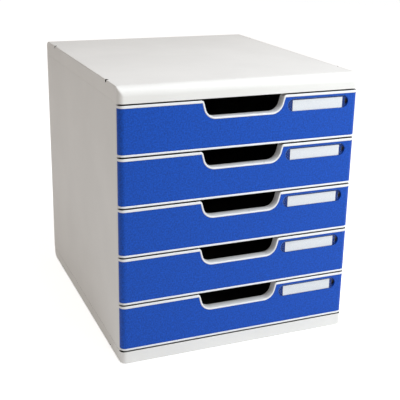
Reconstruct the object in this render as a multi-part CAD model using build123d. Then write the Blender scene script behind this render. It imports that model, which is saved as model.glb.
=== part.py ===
from build123d import *

import os
from math import cos, radians, tan

# Desktop unit with a stack of sliding drawers for papers. Millimetres, +Z up, +X to the right of a
# person facing the fronts, which look along -Y. The origin is under the middle of the unit.

# Driving dimensions of the whole unit
WIDTH = 288.0
DEPTH = 339.0
HEIGHT = 320.0
DRAWER_COUNT = 5
PITCH = 56.95
FRONT_GAP = 1.8
PLINTH_TOP = 15.3
WALL = 2.5
CORNER_RADIUS = 7.0
TRAVEL = 250.0

# Top cover and base tray
EDGE_RADIUS = 1.2
REAR_CORNER = 3.0
VISOR_RADIUS = 11.0
COVER_REAR_RADIUS = 12.0
BASE_REAR_RADIUS = 13.5
COVER_OVERHANG = 1.3
RIB_THICKNESS = 1.6
RIB_HEIGHT = 3.5
RIB_ENDS = (-156.0, 150.0)
LONG_RIBS_X = (-70.0, 0.0, 70.0)
CROSS_RIBS_Y = (-90.0, 0.0, 90.0)

# Slots across the long edges, for clips that join two units
SLOT_LENGTH = 4.5
SLOT_WIDTH = 4.2
SLOT_DEPTH = 6.0
SLOTS_Y = (-125.0, 117.5)

# Square foot pads under the base
PAD_SIZE = 15.0
PAD_PROUD = 1.0
PAD_SLANT = 0.4
PAD_X = 122.0
PADS_Y = (-148.0, 138.0)

# Side panels: runner ledges, keepers over them, tongues into the cover and base, back grooves
PANEL_FRONT_GAP = 0.3
PANEL_FRONT_ROUNDING = 0.8
LEDGE_REACH = 4.9
LEDGE_THICKNESS = 2.0
LEDGE_START = 11.5
LEDGE_END = 158.0
KEEPER_GAP = 0.8
TONGUE_THICKNESS = 1.6
TONGUE_INSERT = 6.2
TONGUE_ROOT = 5.0
TONGUE_ENDS = (-152.0, 158.0)
GROOVE_REACH = 6.0
GROOVE_RIB = 1.8

# Back panel
BACK_THICKNESS = 2.2
BACK_CLEARANCE = 0.6
BACK_HEADROOM = 8.1
BEAD_WIDTH = 5.0
BEAD_PROUD = 1.0
BEAD_SLANT = 0.8

# Drawer front: white frame with rims, blue facing laid in it, label holder
RIM_TOP = 3.0
RIM_BOTTOM = 2.3
RIM_DEPTH = 10.5
RIM_BEVEL = 0.7
FACING_SETBACK = 0.3
FACING_THICKNESS = 2.0
FACING_CLEARANCE = 0.15
SKIN_THICKNESS = 1.8
SIDE_CLEARANCE = 1.6

# Finger cut-out at the top of the front, measured at the edge of the blue facing
CUTOUT_BASE = 45.1
CUTOUT_DROP = 21.2
CUTOUT_SLOPE = 15.0
CUTOUT_RADIUS = 15.0
CUTOUT_RIM = 2.0
CUTOUT_LIP_RADIUS = 3.5

# Label holder on the facing
HOLDER_X = 92.0
HOLDER_DROP = 12.5
HOLDER_LENGTH = 78.0
HOLDER_HEIGHT = 14.6
HOLDER_DEPTH = 1.4
CARD_LENGTH = 64.1
CARD_HEIGHT = 12.4
CARD_THICKNESS = 0.3
CARD_X = 91.8
CARD_DROP = 13.3
WINDOW_THICKNESS = 0.9
WINDOW_CLEARANCE = 0.15
WINDOW_END = 126.9
NOTCH_X = 127.3
NOTCH_RADIUS = 3.5
NOTCH_MARGIN = 1.2

# Drawer tray
TRAY_FLOOR_LEVEL = RIM_BOTTOM
TRAY_RIM_LEVEL = 46.0
TRAY_WALL = 2.0
TRAY_HALF_TOP = 135.6
TRAY_HALF_BOTTOM = 133.6
TRAY_END = 160.0
TRAY_CORNER = 6.0
TRAY_FRONT_CORNER = 3.0
TRAY_FLOOR_SLANT = 2.0
LIP_THICKNESS = 2.0
LIP_REACH = 140.7
LIP_START = 7.6
LIP_END = 158.5
RUN_CLEARANCE = 0.1
STOP_FACE = 152.0
STOP_LENGTH = 4.0
STOP_RISE = 2.6
STOP_CLEARANCE = 0.3
STOP_SIDE_GAP = 0.4
SCOOP_HALF = 56.0
SCOOP_LEVEL = 33.0

# Snap tongues on the frame that hook behind the tray's front wall
HOOKS_X = (-95.0, 95.0)
HOOK_LEVEL = 14.0
HOOK_WIDTH = 13.0
HOOK_HEIGHT = 3.0
HOOK_BARB = 1.3
HOOK_PLAY = 0.3

# Places that follow from the sizes above
FRONT = -DEPTH / 2
REAR = DEPTH / 2
HALF = WIDTH / 2
INNER_HALF = HALF - WALL
VISOR_BOTTOM = PLINTH_TOP + FRONT_GAP + DRAWER_COUNT * PITCH
FRONT_HEIGHT = PITCH - FRONT_GAP
PANEL_FRONT = FRONT + CORNER_RADIUS + PANEL_FRONT_GAP
PANEL_REAR = REAR - COVER_OVERHANG
SKIN_FRONT = FACING_SETBACK + FACING_THICKNESS
SKIN_BACK = SKIN_FRONT + SKIN_THICKNESS
FRAME_SIDE_END = FRONT + CORNER_RADIUS
LIP_BOTTOM = TRAY_RIM_LEVEL - LIP_THICKNESS
GROOVE_REAR = PANEL_REAR - WALL
GROOVE_FRONT = GROOVE_REAR - BACK_THICKNESS


def drawer_bottom(number):
    """Height of the lower edge of a drawer's front, counted from 1 at the top."""
    return PLINTH_TOP + FRONT_GAP + (DRAWER_COUNT - number) * PITCH


def block(x, y, z):
    """A box between two values on each axis."""
    size = Box(x[1] - x[0], y[1] - y[0], z[1] - z[0])
    return Pos((x[0] + x[1]) / 2, (y[0] + y[1]) / 2, (z[0] + z[1]) / 2) * size


def rounded_outline(low, high, radii):
    """A rectangle with a radius for each corner, from the lower left round to the upper left."""
    corners = [(low[0], low[1]), (high[0], low[1]), (high[0], high[1]), (low[0], high[1])]
    outline = make_face(Polyline(*corners, close=True))
    for corner, radius in zip(corners, radii):
        if radius > 0:
            vertex = outline.vertices().sort_by_distance((corner[0], corner[1], 0))[0]
            outline = fillet(vertex, radius)
    return outline


def along_x(outline, left, right):
    """Extrudes an outline drawn in Y and Z."""
    return extrude(Plane.YZ.offset(left) * outline, right - left)


def along_y(outline, front, rear):
    """Extrudes an outline drawn in X and Z."""
    return extrude(Plane.XZ.offset(-rear) * outline, rear - front)


def along_z(outline, low, high):
    """Extrudes an outline drawn in X and Y."""
    return extrude(Plane.XY.offset(low) * outline, high - low)


def shell_form(inset, rear, low, high, bottom_rear, top_front, top_rear):
    """The block of the cover or the base: its plan and its side outline intersected."""
    half = HALF - inset
    front = FRONT + inset
    back = rear - inset
    corner = CORNER_RADIUS - inset
    rear_corner = REAR_CORNER - inset
    plan = rounded_outline((-half, front), (half, back), (corner, corner, rear_corner, rear_corner))
    side = rounded_outline((front, low), (back, high), (0, bottom_rear, top_rear, top_front))
    return along_z(plan, low, high) & along_x(side, -HALF - 1, HALF + 1)


def long_edge_cutters(level, upward):
    """Slivers that round both long edges of the cover or the base at one level."""
    cutters = Part()
    for side in (-1, 1):
        edge = Pos(side * HALF, level) * Rectangle(2 * EDGE_RADIUS, 2 * EDGE_RADIUS)
        middle = Pos(side * (HALF - EDGE_RADIUS), level - upward * EDGE_RADIUS)
        cutters += along_y(edge - middle * Circle(EDGE_RADIUS), FRONT - 1, REAR + 1)
    return cutters


def stiffening_ribs(low, high):
    """A grid of thin ribs that stiffens a flat moulding."""
    reach = INNER_HALF + WALL / 2
    half = RIB_THICKNESS / 2
    grid = Part()
    for x in LONG_RIBS_X:
        grid += block((x - half, x + half), RIB_ENDS, (low, high))
    for y in CROSS_RIBS_Y:
        grid += block((-reach, reach), (y - half, y + half), (low, high))
    return grid


def clip_slots(level, upward):
    """Short cutters that run slantwise through both long edges at one level."""
    cutters = Part()
    for side in (-1, 1):
        for y in SLOTS_Y:
            outward = Vector(side, 0, upward)
            across = Vector(side, 0, -upward)
            plane = Plane(origin=(side * HALF, y, level), x_dir=across, z_dir=outward)
            cutters += extrude(plane * Rectangle(SLOT_WIDTH, SLOT_LENGTH), SLOT_DEPTH, both=True)
    return cutters


def top_cover():
    """Cap with a rounded visor, side flanges and ribs under its flat top."""
    outer = shell_form(0, REAR, VISOR_BOTTOM, HEIGHT, 0, VISOR_RADIUS, COVER_REAR_RADIUS)
    outer -= long_edge_cutters(HEIGHT, 1)
    hollow = shell_form(
        WALL, REAR, VISOR_BOTTOM - WALL, HEIGHT - WALL, 0, VISOR_RADIUS - WALL, COVER_REAR_RADIUS - WALL,
    )
    underside = HEIGHT - WALL
    ribs = stiffening_ribs(underside - RIB_HEIGHT, underside + WALL / 2) & outer
    return outer - hollow + ribs - clip_slots(HEIGHT, 1)


def base_tray():
    """Shallow tray under the unit whose front is the plinth, with ribs on its floor."""
    floor = PAD_PROUD + WALL
    outer = shell_form(0, PANEL_REAR, PAD_PROUD, PLINTH_TOP, BASE_REAR_RADIUS, 0, 0)
    outer -= long_edge_cutters(PAD_PROUD, -1)
    hollow = shell_form(WALL, PANEL_REAR, floor, PLINTH_TOP + WALL, BASE_REAR_RADIUS - WALL, 0, 0)
    ribs = stiffening_ribs(floor - WALL / 2, floor + RIB_HEIGHT) & outer
    return outer - hollow + ribs - clip_slots(PAD_PROUD, -1)


def pad_places():
    """Centres of the four foot pads."""
    return [(x, y) for y in PADS_Y for x in (-PAD_X, PAD_X)]


def foot_pad(x, y):
    """Thin square pad with slanted lower edges."""
    pad = Pos(x, y, PAD_PROUD / 2) * Box(PAD_SIZE, PAD_SIZE, PAD_PROUD)
    return chamfer(pad.faces().sort_by(Axis.Z)[0].edges(), PAD_SLANT)


def side_panel_right():
    """Flat wall with a ledge and a keeper for each drawer, tongues at top and bottom, and back grooves."""
    inner = INNER_HALF - LEDGE_REACH
    radii = (0, PANEL_FRONT_ROUNDING, EDGE_RADIUS, 0)
    outline = rounded_outline((INNER_HALF, PANEL_FRONT), (HALF, PANEL_REAR), radii)
    panel = along_z(outline, PLINTH_TOP, VISOR_BOTTOM)
    for number in range(1, DRAWER_COUNT + 1):
        bottom = drawer_bottom(number)
        ledge_top = bottom + LIP_BOTTOM - RUN_CLEARANCE
        keeper = bottom + TRAY_RIM_LEVEL + KEEPER_GAP
        keeper_end = STOP_FACE - TRAVEL - STOP_CLEARANCE
        reach = (inner, INNER_HALF + WALL / 2)
        panel += block(reach, (FRONT + LEDGE_START, LEDGE_END), (ledge_top - LEDGE_THICKNESS, ledge_top))
        panel += block(reach, (FRONT + LEDGE_START, keeper_end), (keeper, keeper + LEDGE_THICKNESS))
    tongue = (INNER_HALF - TONGUE_THICKNESS, INNER_HALF)
    panel += block(tongue, TONGUE_ENDS, (VISOR_BOTTOM - TONGUE_ROOT, VISOR_BOTTOM + TONGUE_INSERT))
    panel += block(tongue, TONGUE_ENDS, (PLINTH_TOP - TONGUE_INSERT, PLINTH_TOP + TONGUE_ROOT))
    groove = (INNER_HALF - GROOVE_REACH, INNER_HALF + WALL / 2)
    heights = (PLINTH_TOP, VISOR_BOTTOM)
    panel += block(groove, (GROOVE_REAR, PANEL_REAR), heights)
    panel += block(groove, (GROOVE_FRONT - GROOVE_RIB, GROOVE_FRONT), heights)
    return panel


def back_panel():
    """Thin rear wall with a raised bead behind each drawer."""
    half = INNER_HALF - BACK_CLEARANCE
    low = PAD_PROUD + BASE_REAR_RADIUS + BACK_CLEARANCE
    high = HEIGHT - BACK_HEADROOM
    panel = block((-half, half), (GROOVE_FRONT, GROOVE_REAR), (low, high))
    bead_half = half - GROOVE_REACH - BEAD_WIDTH
    for number in range(1, DRAWER_COUNT + 1):
        middle = drawer_bottom(number) + FRONT_HEIGHT / 2
        bead = block(
            (-bead_half, bead_half),
            (GROOVE_REAR - BEAD_PROUD, GROOVE_REAR + BEAD_PROUD),
            (middle - BEAD_WIDTH / 2, middle + BEAD_WIDTH / 2),
        )
        panel += chamfer(bead.faces().sort_by(Axis.Y)[-1].edges(), BEAD_SLANT)
    return panel


def front_plan(inset, back):
    """Plan of a drawer front at some depth under its face, cut square at the back."""
    half = HALF - inset
    radius = CORNER_RADIUS - inset
    outline = rounded_outline((-half, FRONT + inset), (half, 0), (radius, radius, 0, 0))
    return outline & rounded_outline((-HALF, FRONT), (HALF, back), (0, 0, 0, 0))


def cutout_outline(inset):
    """Finger cut-out in X and Z from the front's lower edge, drawn past the top; inset shrinks it."""
    slope = radians(CUTOUT_SLOPE)
    low = FRONT_HEIGHT - CUTOUT_DROP + inset
    high = FRONT_HEIGHT + CUTOUT_DROP
    base = CUTOUT_BASE + inset * tan(slope) - inset / cos(slope)
    top = base + (high - low) * tan(slope)
    outline = make_face(Polyline((-base, low), (base, low), (top, high), (-top, high), close=True))
    return fillet(outline.vertices().group_by(Axis.Y)[0], CUTOUT_RADIUS - inset)


def release_notch():
    """Half-round hole at the end of the label holder, for pushing the window out."""
    disc = Pos(NOTCH_X, FRONT_HEIGHT - HOLDER_DROP) * Circle(NOTCH_RADIUS)
    right_half = rounded_outline((NOTCH_X, 0), (HALF, FRONT_HEIGHT), (0, 0, 0, 0))
    return along_y(disc & right_half, FRONT, FRONT + SKIN_BACK)


def notch_clearance():
    """Rectangular hole in the white skin behind the release notch, with a margin round it."""
    level = FRONT_HEIGHT - HOLDER_DROP
    reach = NOTCH_RADIUS + NOTCH_MARGIN
    across = (NOTCH_X - NOTCH_MARGIN, NOTCH_X + reach)
    return block(across, (FRONT, FRONT + SKIN_BACK + 1), (level - reach, level + reach))


def drawer_frame():
    """White front moulding: two rims joined by a skin, with a flanged cut-out and snap tongues."""
    rim_back = FRONT + RIM_DEPTH
    square_half = INNER_HALF - SIDE_CLEARANCE
    deep = rounded_outline((-square_half, FRONT + SKIN_BACK), (square_half, rim_back), (0, 0, 0, 0))
    frame = along_z(front_plan(0, FRAME_SIDE_END) + deep, 0, FRONT_HEIGHT)
    frame -= along_y(cutout_outline(CUTOUT_RIM), FRONT - 1, rim_back + 1)
    frame = soften_face(round_lips(frame))
    surround = along_y(cutout_outline(0), FRONT - 1, rim_back + 1)
    between_rims = (RIM_BOTTOM, FRONT_HEIGHT - RIM_TOP)
    pocket_plan = front_plan(0, REAR) - front_plan(SKIN_FRONT, REAR)
    frame -= along_z(pocket_plan, *between_rims) - surround
    frame -= along_z(front_plan(SKIN_BACK, REAR), *between_rims) - surround
    frame -= notch_clearance()
    for x in HOOKS_X:
        frame += snap_tongue(x)
    return frame


def round_lips(frame):
    """Rounds the frame where the cut-out meets the upper edge."""
    slope = radians(CUTOUT_SLOPE)
    half = CUTOUT_BASE - CUTOUT_RIM / cos(slope) + CUTOUT_DROP * tan(slope)
    corners = [
        edge
        for edge in frame.edges().filter_by(Axis.Y)
        if abs(edge.center().Z - FRONT_HEIGHT) < 0.01 and abs(abs(edge.center().X) - half) < 1
    ]
    return fillet(corners, CUTOUT_LIP_RADIUS)


def soften_face(frame):
    """Bevels the outer edges of the frame's face, round the corners and along the cut-out too."""
    face = frame.faces().sort_by(Axis.Y)[0]
    edges = [edge for edge in face.edges() if edge.bounding_box().size.X > 0.01]
    return chamfer(edges, RIM_BEVEL)


def snap_tongue(x):
    """Tongue that passes through the tray's front wall and hooks over its inner face."""
    start = FRONT + SKIN_BACK
    wall_back = start + TRAY_WALL
    half = HOOK_WIDTH / 2
    heights = (HOOK_LEVEL, HOOK_LEVEL + HOOK_HEIGHT)
    tongue = block((x - half, x + half), (start, wall_back + 2 * HOOK_BARB), heights)
    barb_outline = make_face(
        Polyline(
            (wall_back, HOOK_LEVEL),
            (wall_back + 2 * HOOK_BARB, HOOK_LEVEL),
            (wall_back, HOOK_LEVEL - HOOK_BARB),
            close=True,
        )
    )
    return tongue + along_x(barb_outline, x - half, x + half)


def drawer_facing():
    """Blue skin laid in the frame, wrapped round both corners, with the label holder sunk in it."""
    plan = front_plan(FACING_SETBACK, FRAME_SIDE_END) - front_plan(SKIN_FRONT, REAR)
    low = RIM_BOTTOM + FACING_CLEARANCE
    high = FRONT_HEIGHT - RIM_TOP - FACING_CLEARANCE
    facing = along_z(plan, low, high)
    facing -= along_y(cutout_outline(-FACING_CLEARANCE), FRONT - 1, FRONT + RIM_DEPTH)
    holder = Pos(HOLDER_X, FRONT_HEIGHT - HOLDER_DROP) * SlotOverall(HOLDER_LENGTH, HOLDER_HEIGHT)
    facing -= along_y(holder, FRONT - 1, FRONT + FACING_SETBACK + HOLDER_DEPTH)
    return facing - release_notch()


def label_card():
    """Card that lies on the floor of the label holder."""
    back = FRONT + FACING_SETBACK + HOLDER_DEPTH
    card = Pos(CARD_X, FRONT_HEIGHT - CARD_DROP) * Rectangle(CARD_LENGTH, CARD_HEIGHT)
    return along_y(card, back - CARD_THICKNESS, back)


def label_window():
    """Clear cover over the card, round at one end and square where the release notch is."""
    back = FRONT + FACING_SETBACK + HOLDER_DEPTH - CARD_THICKNESS
    length = HOLDER_LENGTH - 2 * WINDOW_CLEARANCE
    height = HOLDER_HEIGHT - 2 * WINDOW_CLEARANCE
    pane = Pos(HOLDER_X, FRONT_HEIGHT - HOLDER_DROP) * SlotOverall(length, height)
    pane &= rounded_outline((0, 0), (WINDOW_END, FRONT_HEIGHT), (0, 0, 0, 0))
    return along_y(pane, back - WINDOW_THICKNESS, back)


def drawer_tray():
    """Open box with drafted sides, lips that slide on the ledges, stop tabs and a scooped front wall."""
    front = FRONT + SKIN_BACK
    outer = along_y(tray_section(0, TRAY_FLOOR_LEVEL, TRAY_RIM_LEVEL), front, TRAY_END)
    outer = fillet(slanted_edges(outer, TRAY_END), TRAY_CORNER)
    inside = (front + TRAY_WALL, TRAY_END - TRAY_WALL)
    hollow = along_y(tray_section(TRAY_WALL, TRAY_FLOOR_LEVEL + TRAY_WALL, FRONT_HEIGHT), *inside)
    hollow = fillet(slanted_edges(hollow, inside[0]), TRAY_FRONT_CORNER)
    hollow = fillet(slanted_edges(hollow, inside[1]), TRAY_CORNER - TRAY_WALL)
    hollow = chamfer(hollow.faces().sort_by(Axis.Z)[0].edges(), TRAY_FLOOR_SLANT)
    tray = outer + side_lips() - hollow
    radii = (TRAY_CORNER, TRAY_CORNER, 0, 0)
    scoop = rounded_outline((-SCOOP_HALF, SCOOP_LEVEL), (SCOOP_HALF, FRONT_HEIGHT), radii)
    tray -= along_y(scoop, front - 1, front + TRAY_CORNER)
    for x in HOOKS_X:
        half = HOOK_WIDTH / 2 + HOOK_PLAY
        heights = (HOOK_LEVEL - HOOK_PLAY, HOOK_LEVEL + HOOK_HEIGHT + HOOK_PLAY)
        tray -= block((x - half, x + half), (front - 1, front + TRAY_WALL + 1), heights)
    return tray


def tray_section(inset, low, high):
    """Cross-section of the tray, wider at the top, between two heights."""
    slope = (TRAY_HALF_TOP - TRAY_HALF_BOTTOM) / (TRAY_RIM_LEVEL - TRAY_FLOOR_LEVEL)
    half_low = TRAY_HALF_BOTTOM + (low - TRAY_FLOOR_LEVEL) * slope - inset
    half_high = TRAY_HALF_BOTTOM + (high - TRAY_FLOOR_LEVEL) * slope - inset
    return make_face(
        Polyline((-half_low, low), (half_low, low), (half_high, high), (-half_high, high), close=True)
    )


def slanted_edges(solid, y):
    """The two upright edges of a drafted block at one end."""
    return [
        edge
        for edge in solid.edges()
        if abs(edge.center().Y - y) < 0.01 and edge.bounding_box().size.Z > TRAY_RIM_LEVEL / 2
    ]


def side_lips():
    """Both sliding lips, each with the tab that meets the keeper when the drawer is pulled out."""
    lips = Part()
    for side in (-1, 1):
        x = sorted((side * (TRAY_HALF_TOP - 1), side * LIP_REACH))
        lips += block(x, (FRONT + LIP_START, LIP_END), (LIP_BOTTOM, TRAY_RIM_LEVEL))
        tab_x = sorted((side * (INNER_HALF - LEDGE_REACH + STOP_SIDE_GAP), side * LIP_REACH))
        tab_y = (STOP_FACE, STOP_FACE + STOP_LENGTH)
        lips += block(tab_x, tab_y, (LIP_BOTTOM, TRAY_RIM_LEVEL + STOP_RISE))
    return lips


def write(name, shape):
    """Writes one piece under its node name."""
    export_step(shape, os.path.join("parts", name + ".step"))


os.makedirs("parts", exist_ok=True)

write("top_cover", top_cover())
write("base_tray", base_tray())
right_panel = side_panel_right()
write("side_panel_right", right_panel)
write("side_panel_left", mirror(right_panel, about=Plane.YZ))
write("back_panel", back_panel())
for place, (x, y) in zip(("front_left", "front_right", "rear_left", "rear_right"), pad_places()):
    write("foot_pad_" + place, foot_pad(x, y))

drawer_pieces = {
    "tray": drawer_tray(),
    "frame": drawer_frame(),
    "facing": drawer_facing(),
    "label": label_card(),
    "window": label_window(),
}
for number in range(1, DRAWER_COUNT + 1):
    for piece, shape in drawer_pieces.items():
        write(f"drawer_{number}_{piece}", Pos(0, 0, drawer_bottom(number)) * shape)
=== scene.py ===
"""Desktop unit with five drawers for papers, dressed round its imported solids.

Each moulding is remade with fine roundings from the sizes of its solid, in metres and in the same
place, and gets a finish of its own: grained shell plastic, glossy white rims, leather-grained blue
facings, graphite trays, paper cards under clear windows and rubber pads.
"""

from __future__ import annotations

import logging
import math
from contextlib import contextmanager
from dataclasses import dataclass
from enum import Enum
from typing import Callable, Iterable, Iterator, Sequence

import bmesh
import bpy
from mathutils import Matrix, Vector


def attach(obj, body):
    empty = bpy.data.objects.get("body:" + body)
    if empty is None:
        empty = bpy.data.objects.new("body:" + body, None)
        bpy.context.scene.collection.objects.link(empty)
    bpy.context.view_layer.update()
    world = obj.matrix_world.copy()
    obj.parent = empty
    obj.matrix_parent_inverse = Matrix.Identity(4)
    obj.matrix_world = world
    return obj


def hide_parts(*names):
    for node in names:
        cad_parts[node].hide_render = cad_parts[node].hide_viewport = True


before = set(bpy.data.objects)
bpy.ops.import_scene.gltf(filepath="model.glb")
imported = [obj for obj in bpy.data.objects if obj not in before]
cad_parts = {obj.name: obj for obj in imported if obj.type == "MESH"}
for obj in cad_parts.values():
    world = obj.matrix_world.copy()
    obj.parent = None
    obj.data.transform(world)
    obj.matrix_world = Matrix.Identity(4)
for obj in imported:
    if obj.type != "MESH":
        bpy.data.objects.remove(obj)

log = logging.getLogger("drawer_unit")

Point = tuple[float, float]
Point3 = tuple[float, float, float]
Colour = tuple[float, float, float]
Outline = list[Point]
Mesh = bpy.types.Mesh
Socket = bpy.types.NodeSocket

# Metres in a millimetre. Sizes are in millimetres where nothing else is said.
MM = 0.001

# The turn from one point of an arc to the next, and the number of such turns in a quarter.
ARC_STEP = math.radians(6.0)
QUARTER_STEPS = 15

# Distances in metres within which points are merged, in a new mesh and in a finished one.
MERGE_DISTANCE = 1e-6
SLIVER = 3e-6

# Half the straight bit in the middle of a half-round end, which keeps its two arcs apart.
END_FLAT = 0.02

# How far a cutter reaches past what it cuts.
PAST = 1.0

# How closely a point lies on a plane, a face or an arc that it counts as part of.
ON_PLANE = 0.01
ON_FACE = 0.02
ON_ARC = 0.03

# Angles between two faces: a seam is dissolved below the first, an edge is rounded above the
# second, and shading has a sharp edge above the third.
FLAT_ANGLE = math.radians(0.3)
EDGE_ANGLE = math.radians(25)
SHARP_ANGLE = math.radians(32)

# Parts of a noise pattern's range that carry most of it.
MOST = (0.3, 0.7)
MIDDLE = (0.35, 0.65)

# Half the height within which a face counts as level with a place.
LEVEL_BAND = 0.1

# Sockets of a mix node that mixes colours: amount, first and second colour, and the result.
MIX_INPUTS = (0, 6, 7)
MIX_OUTPUT = 2


class Axis(Enum):
    """Direction in which an outline is drawn out into a prism."""

    X = 0
    Y = 1
    Z = 2


class Carve(Enum):
    """Ways to combine two closed meshes."""

    JOIN = "UNION"
    CUT = "DIFFERENCE"


# Outlines


def rounded(corners: Sequence[Point], radii: Sequence[float]) -> Outline:
    """Rounds the corners of a polygon, inward or outward.

    Args:
        corners: The polygon's corners in order, in millimetres.
        radii: A radius for each corner, with 0 for a sharp one.

    Returns:
        The outline as a list of points.
    """
    points: Outline = []
    for index, (corner, radius) in enumerate(zip(corners, radii)):
        here = Vector(corner)
        if radius <= 0:
            points.append((here.x, here.y))
            continue
        back = (Vector(corners[index - 1]) - here).normalized()
        ahead = (Vector(corners[(index + 1) % len(corners)]) - here).normalized()
        half = back.angle(ahead) / 2
        centre = here + (back + ahead).normalized() * (radius / math.sin(half))
        first = here + back * (radius / math.tan(half)) - centre
        last = here + ahead * (radius / math.tan(half)) - centre
        start = math.atan2(first.y, first.x)
        sweep = math.remainder(math.atan2(last.y, last.x) - start, math.tau)
        steps = max(2, math.ceil(abs(sweep) / ARC_STEP))
        for step in range(steps + 1):
            angle = start + sweep * step / steps
            x, y = radius * math.cos(angle), radius * math.sin(angle)
            points.append((centre.x + x, centre.y + y))
    return points


def rectangle(low: Point, high: Point, radii: Sequence[float] = (0, 0, 0, 0)) -> Outline:
    """A rectangle with a radius for each corner.

    Args:
        low: Lower left corner in millimetres.
        high: Upper right corner in millimetres.
        radii: Radii from the lower left corner round to the upper left one.

    Returns:
        The outline as a list of points.
    """
    corners = [(low[0], low[1]), (high[0], low[1]), (high[0], high[1]), (low[0], high[1])]
    return rounded(corners, radii)


def stadium(centre: Point, length: float, height: float) -> Outline:
    """A level slot outline with half-round ends, in millimetres.

    Args:
        centre: Its middle.
        length: Its whole length.
        height: Its height.

    Returns:
        The outline as a list of points.
    """
    half = length / 2
    low = (centre[0] - half, centre[1] - height / 2)
    high = (centre[0] + half, centre[1] + height / 2)
    return rectangle(low, high, [height / 2 - END_FLAT] * 4)


# Closed meshes


@contextmanager
def worked(mesh: Mesh) -> Iterator[bmesh.types.BMesh]:
    """Opens a mesh for work on its points and faces, and writes it back at the end.

    Args:
        mesh: The mesh to work on.

    Yields:
        Its editable form.
    """
    work = bmesh.new()
    work.from_mesh(mesh)
    yield work
    work.to_mesh(mesh)
    work.free()


def mesh_from(vertices: Iterable[Sequence[float]], faces: Iterable[Sequence[int]]) -> Mesh:
    """Makes a clean closed mesh in metres from points in millimetres.

    Args:
        vertices: Points in millimetres.
        faces: Corner numbers of each face.

    Returns:
        The mesh with outward normals.
    """
    mesh = bpy.data.meshes.new("solid")
    mesh.from_pydata([Vector(v) * MM for v in vertices], [], list(faces))
    with worked(mesh) as work:
        bmesh.ops.remove_doubles(work, verts=work.verts, dist=MERGE_DISTANCE)
        bmesh.ops.recalc_face_normals(work, faces=work.faces)
    return mesh


def loft(rings: Sequence[Sequence[Sequence[float]]]) -> Mesh:
    """Skins a row of closed rings with equal numbers of points and closes both ends.

    Args:
        rings: Rings of points in millimetres.

    Returns:
        The closed mesh.
    """
    count = len(rings[0])
    vertices = [point for ring in rings for point in ring]
    faces: list[list[int]] = [list(range(count))]
    for row in range(len(rings) - 1):
        base = row * count
        for i in range(count):
            j = (i + 1) % count
            faces.append([base + i, base + j, base + count + j, base + count + i])
    faces.append([len(vertices) - count + i for i in range(count)])
    return mesh_from(vertices, faces)


def prism(outline: Outline, axis: Axis, low: float, high: float) -> Mesh:
    """Draws an outline out along an axis.

    Args:
        outline: Points in the two other axes, in alphabetical order.
        axis: The axis to draw it along.
        low: Start in millimetres.
        high: End in millimetres.

    Returns:
        The closed prism.
    """

    def place(point: Point, level: float) -> list[float]:
        """A point of the outline at a level along the axis.

        Args:
            point: The point in the outline's own two axes.
            level: Its place on the third axis.

        Returns:
            Its three coordinates.
        """
        coordinates = list(point)
        coordinates.insert(axis.value, level)
        return coordinates

    return loft([[place(p, level) for p in outline] for level in (low, high)])


def block(x: Point, y: Point, z: Point) -> Mesh:
    """A box between two values on each axis, in millimetres."""
    return prism(rectangle((x[0], y[0]), (x[1], y[1])), Axis.Z, z[0], z[1])


def evaluated(maker: bpy.types.Object) -> Mesh:
    """Turns an object with modifiers into a plain mesh and removes the object.

    Args:
        maker: The object whose modifiers are to be applied.

    Returns:
        The finished mesh, which no object uses yet.
    """
    bpy.context.view_layer.update()
    graph = bpy.context.evaluated_depsgraph_get()
    mesh = bpy.data.meshes.new_from_object(maker.evaluated_get(graph))
    bpy.data.objects.remove(maker)
    return mesh


def linked(name: str, mesh: Mesh) -> bpy.types.Object:
    """Puts a mesh in the scene as an object at the origin.

    Args:
        name: Name of the object.
        mesh: Its mesh.

    Returns:
        The object.
    """
    thing = bpy.data.objects.new(name, mesh)
    bpy.context.scene.collection.objects.link(thing)
    return thing


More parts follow.
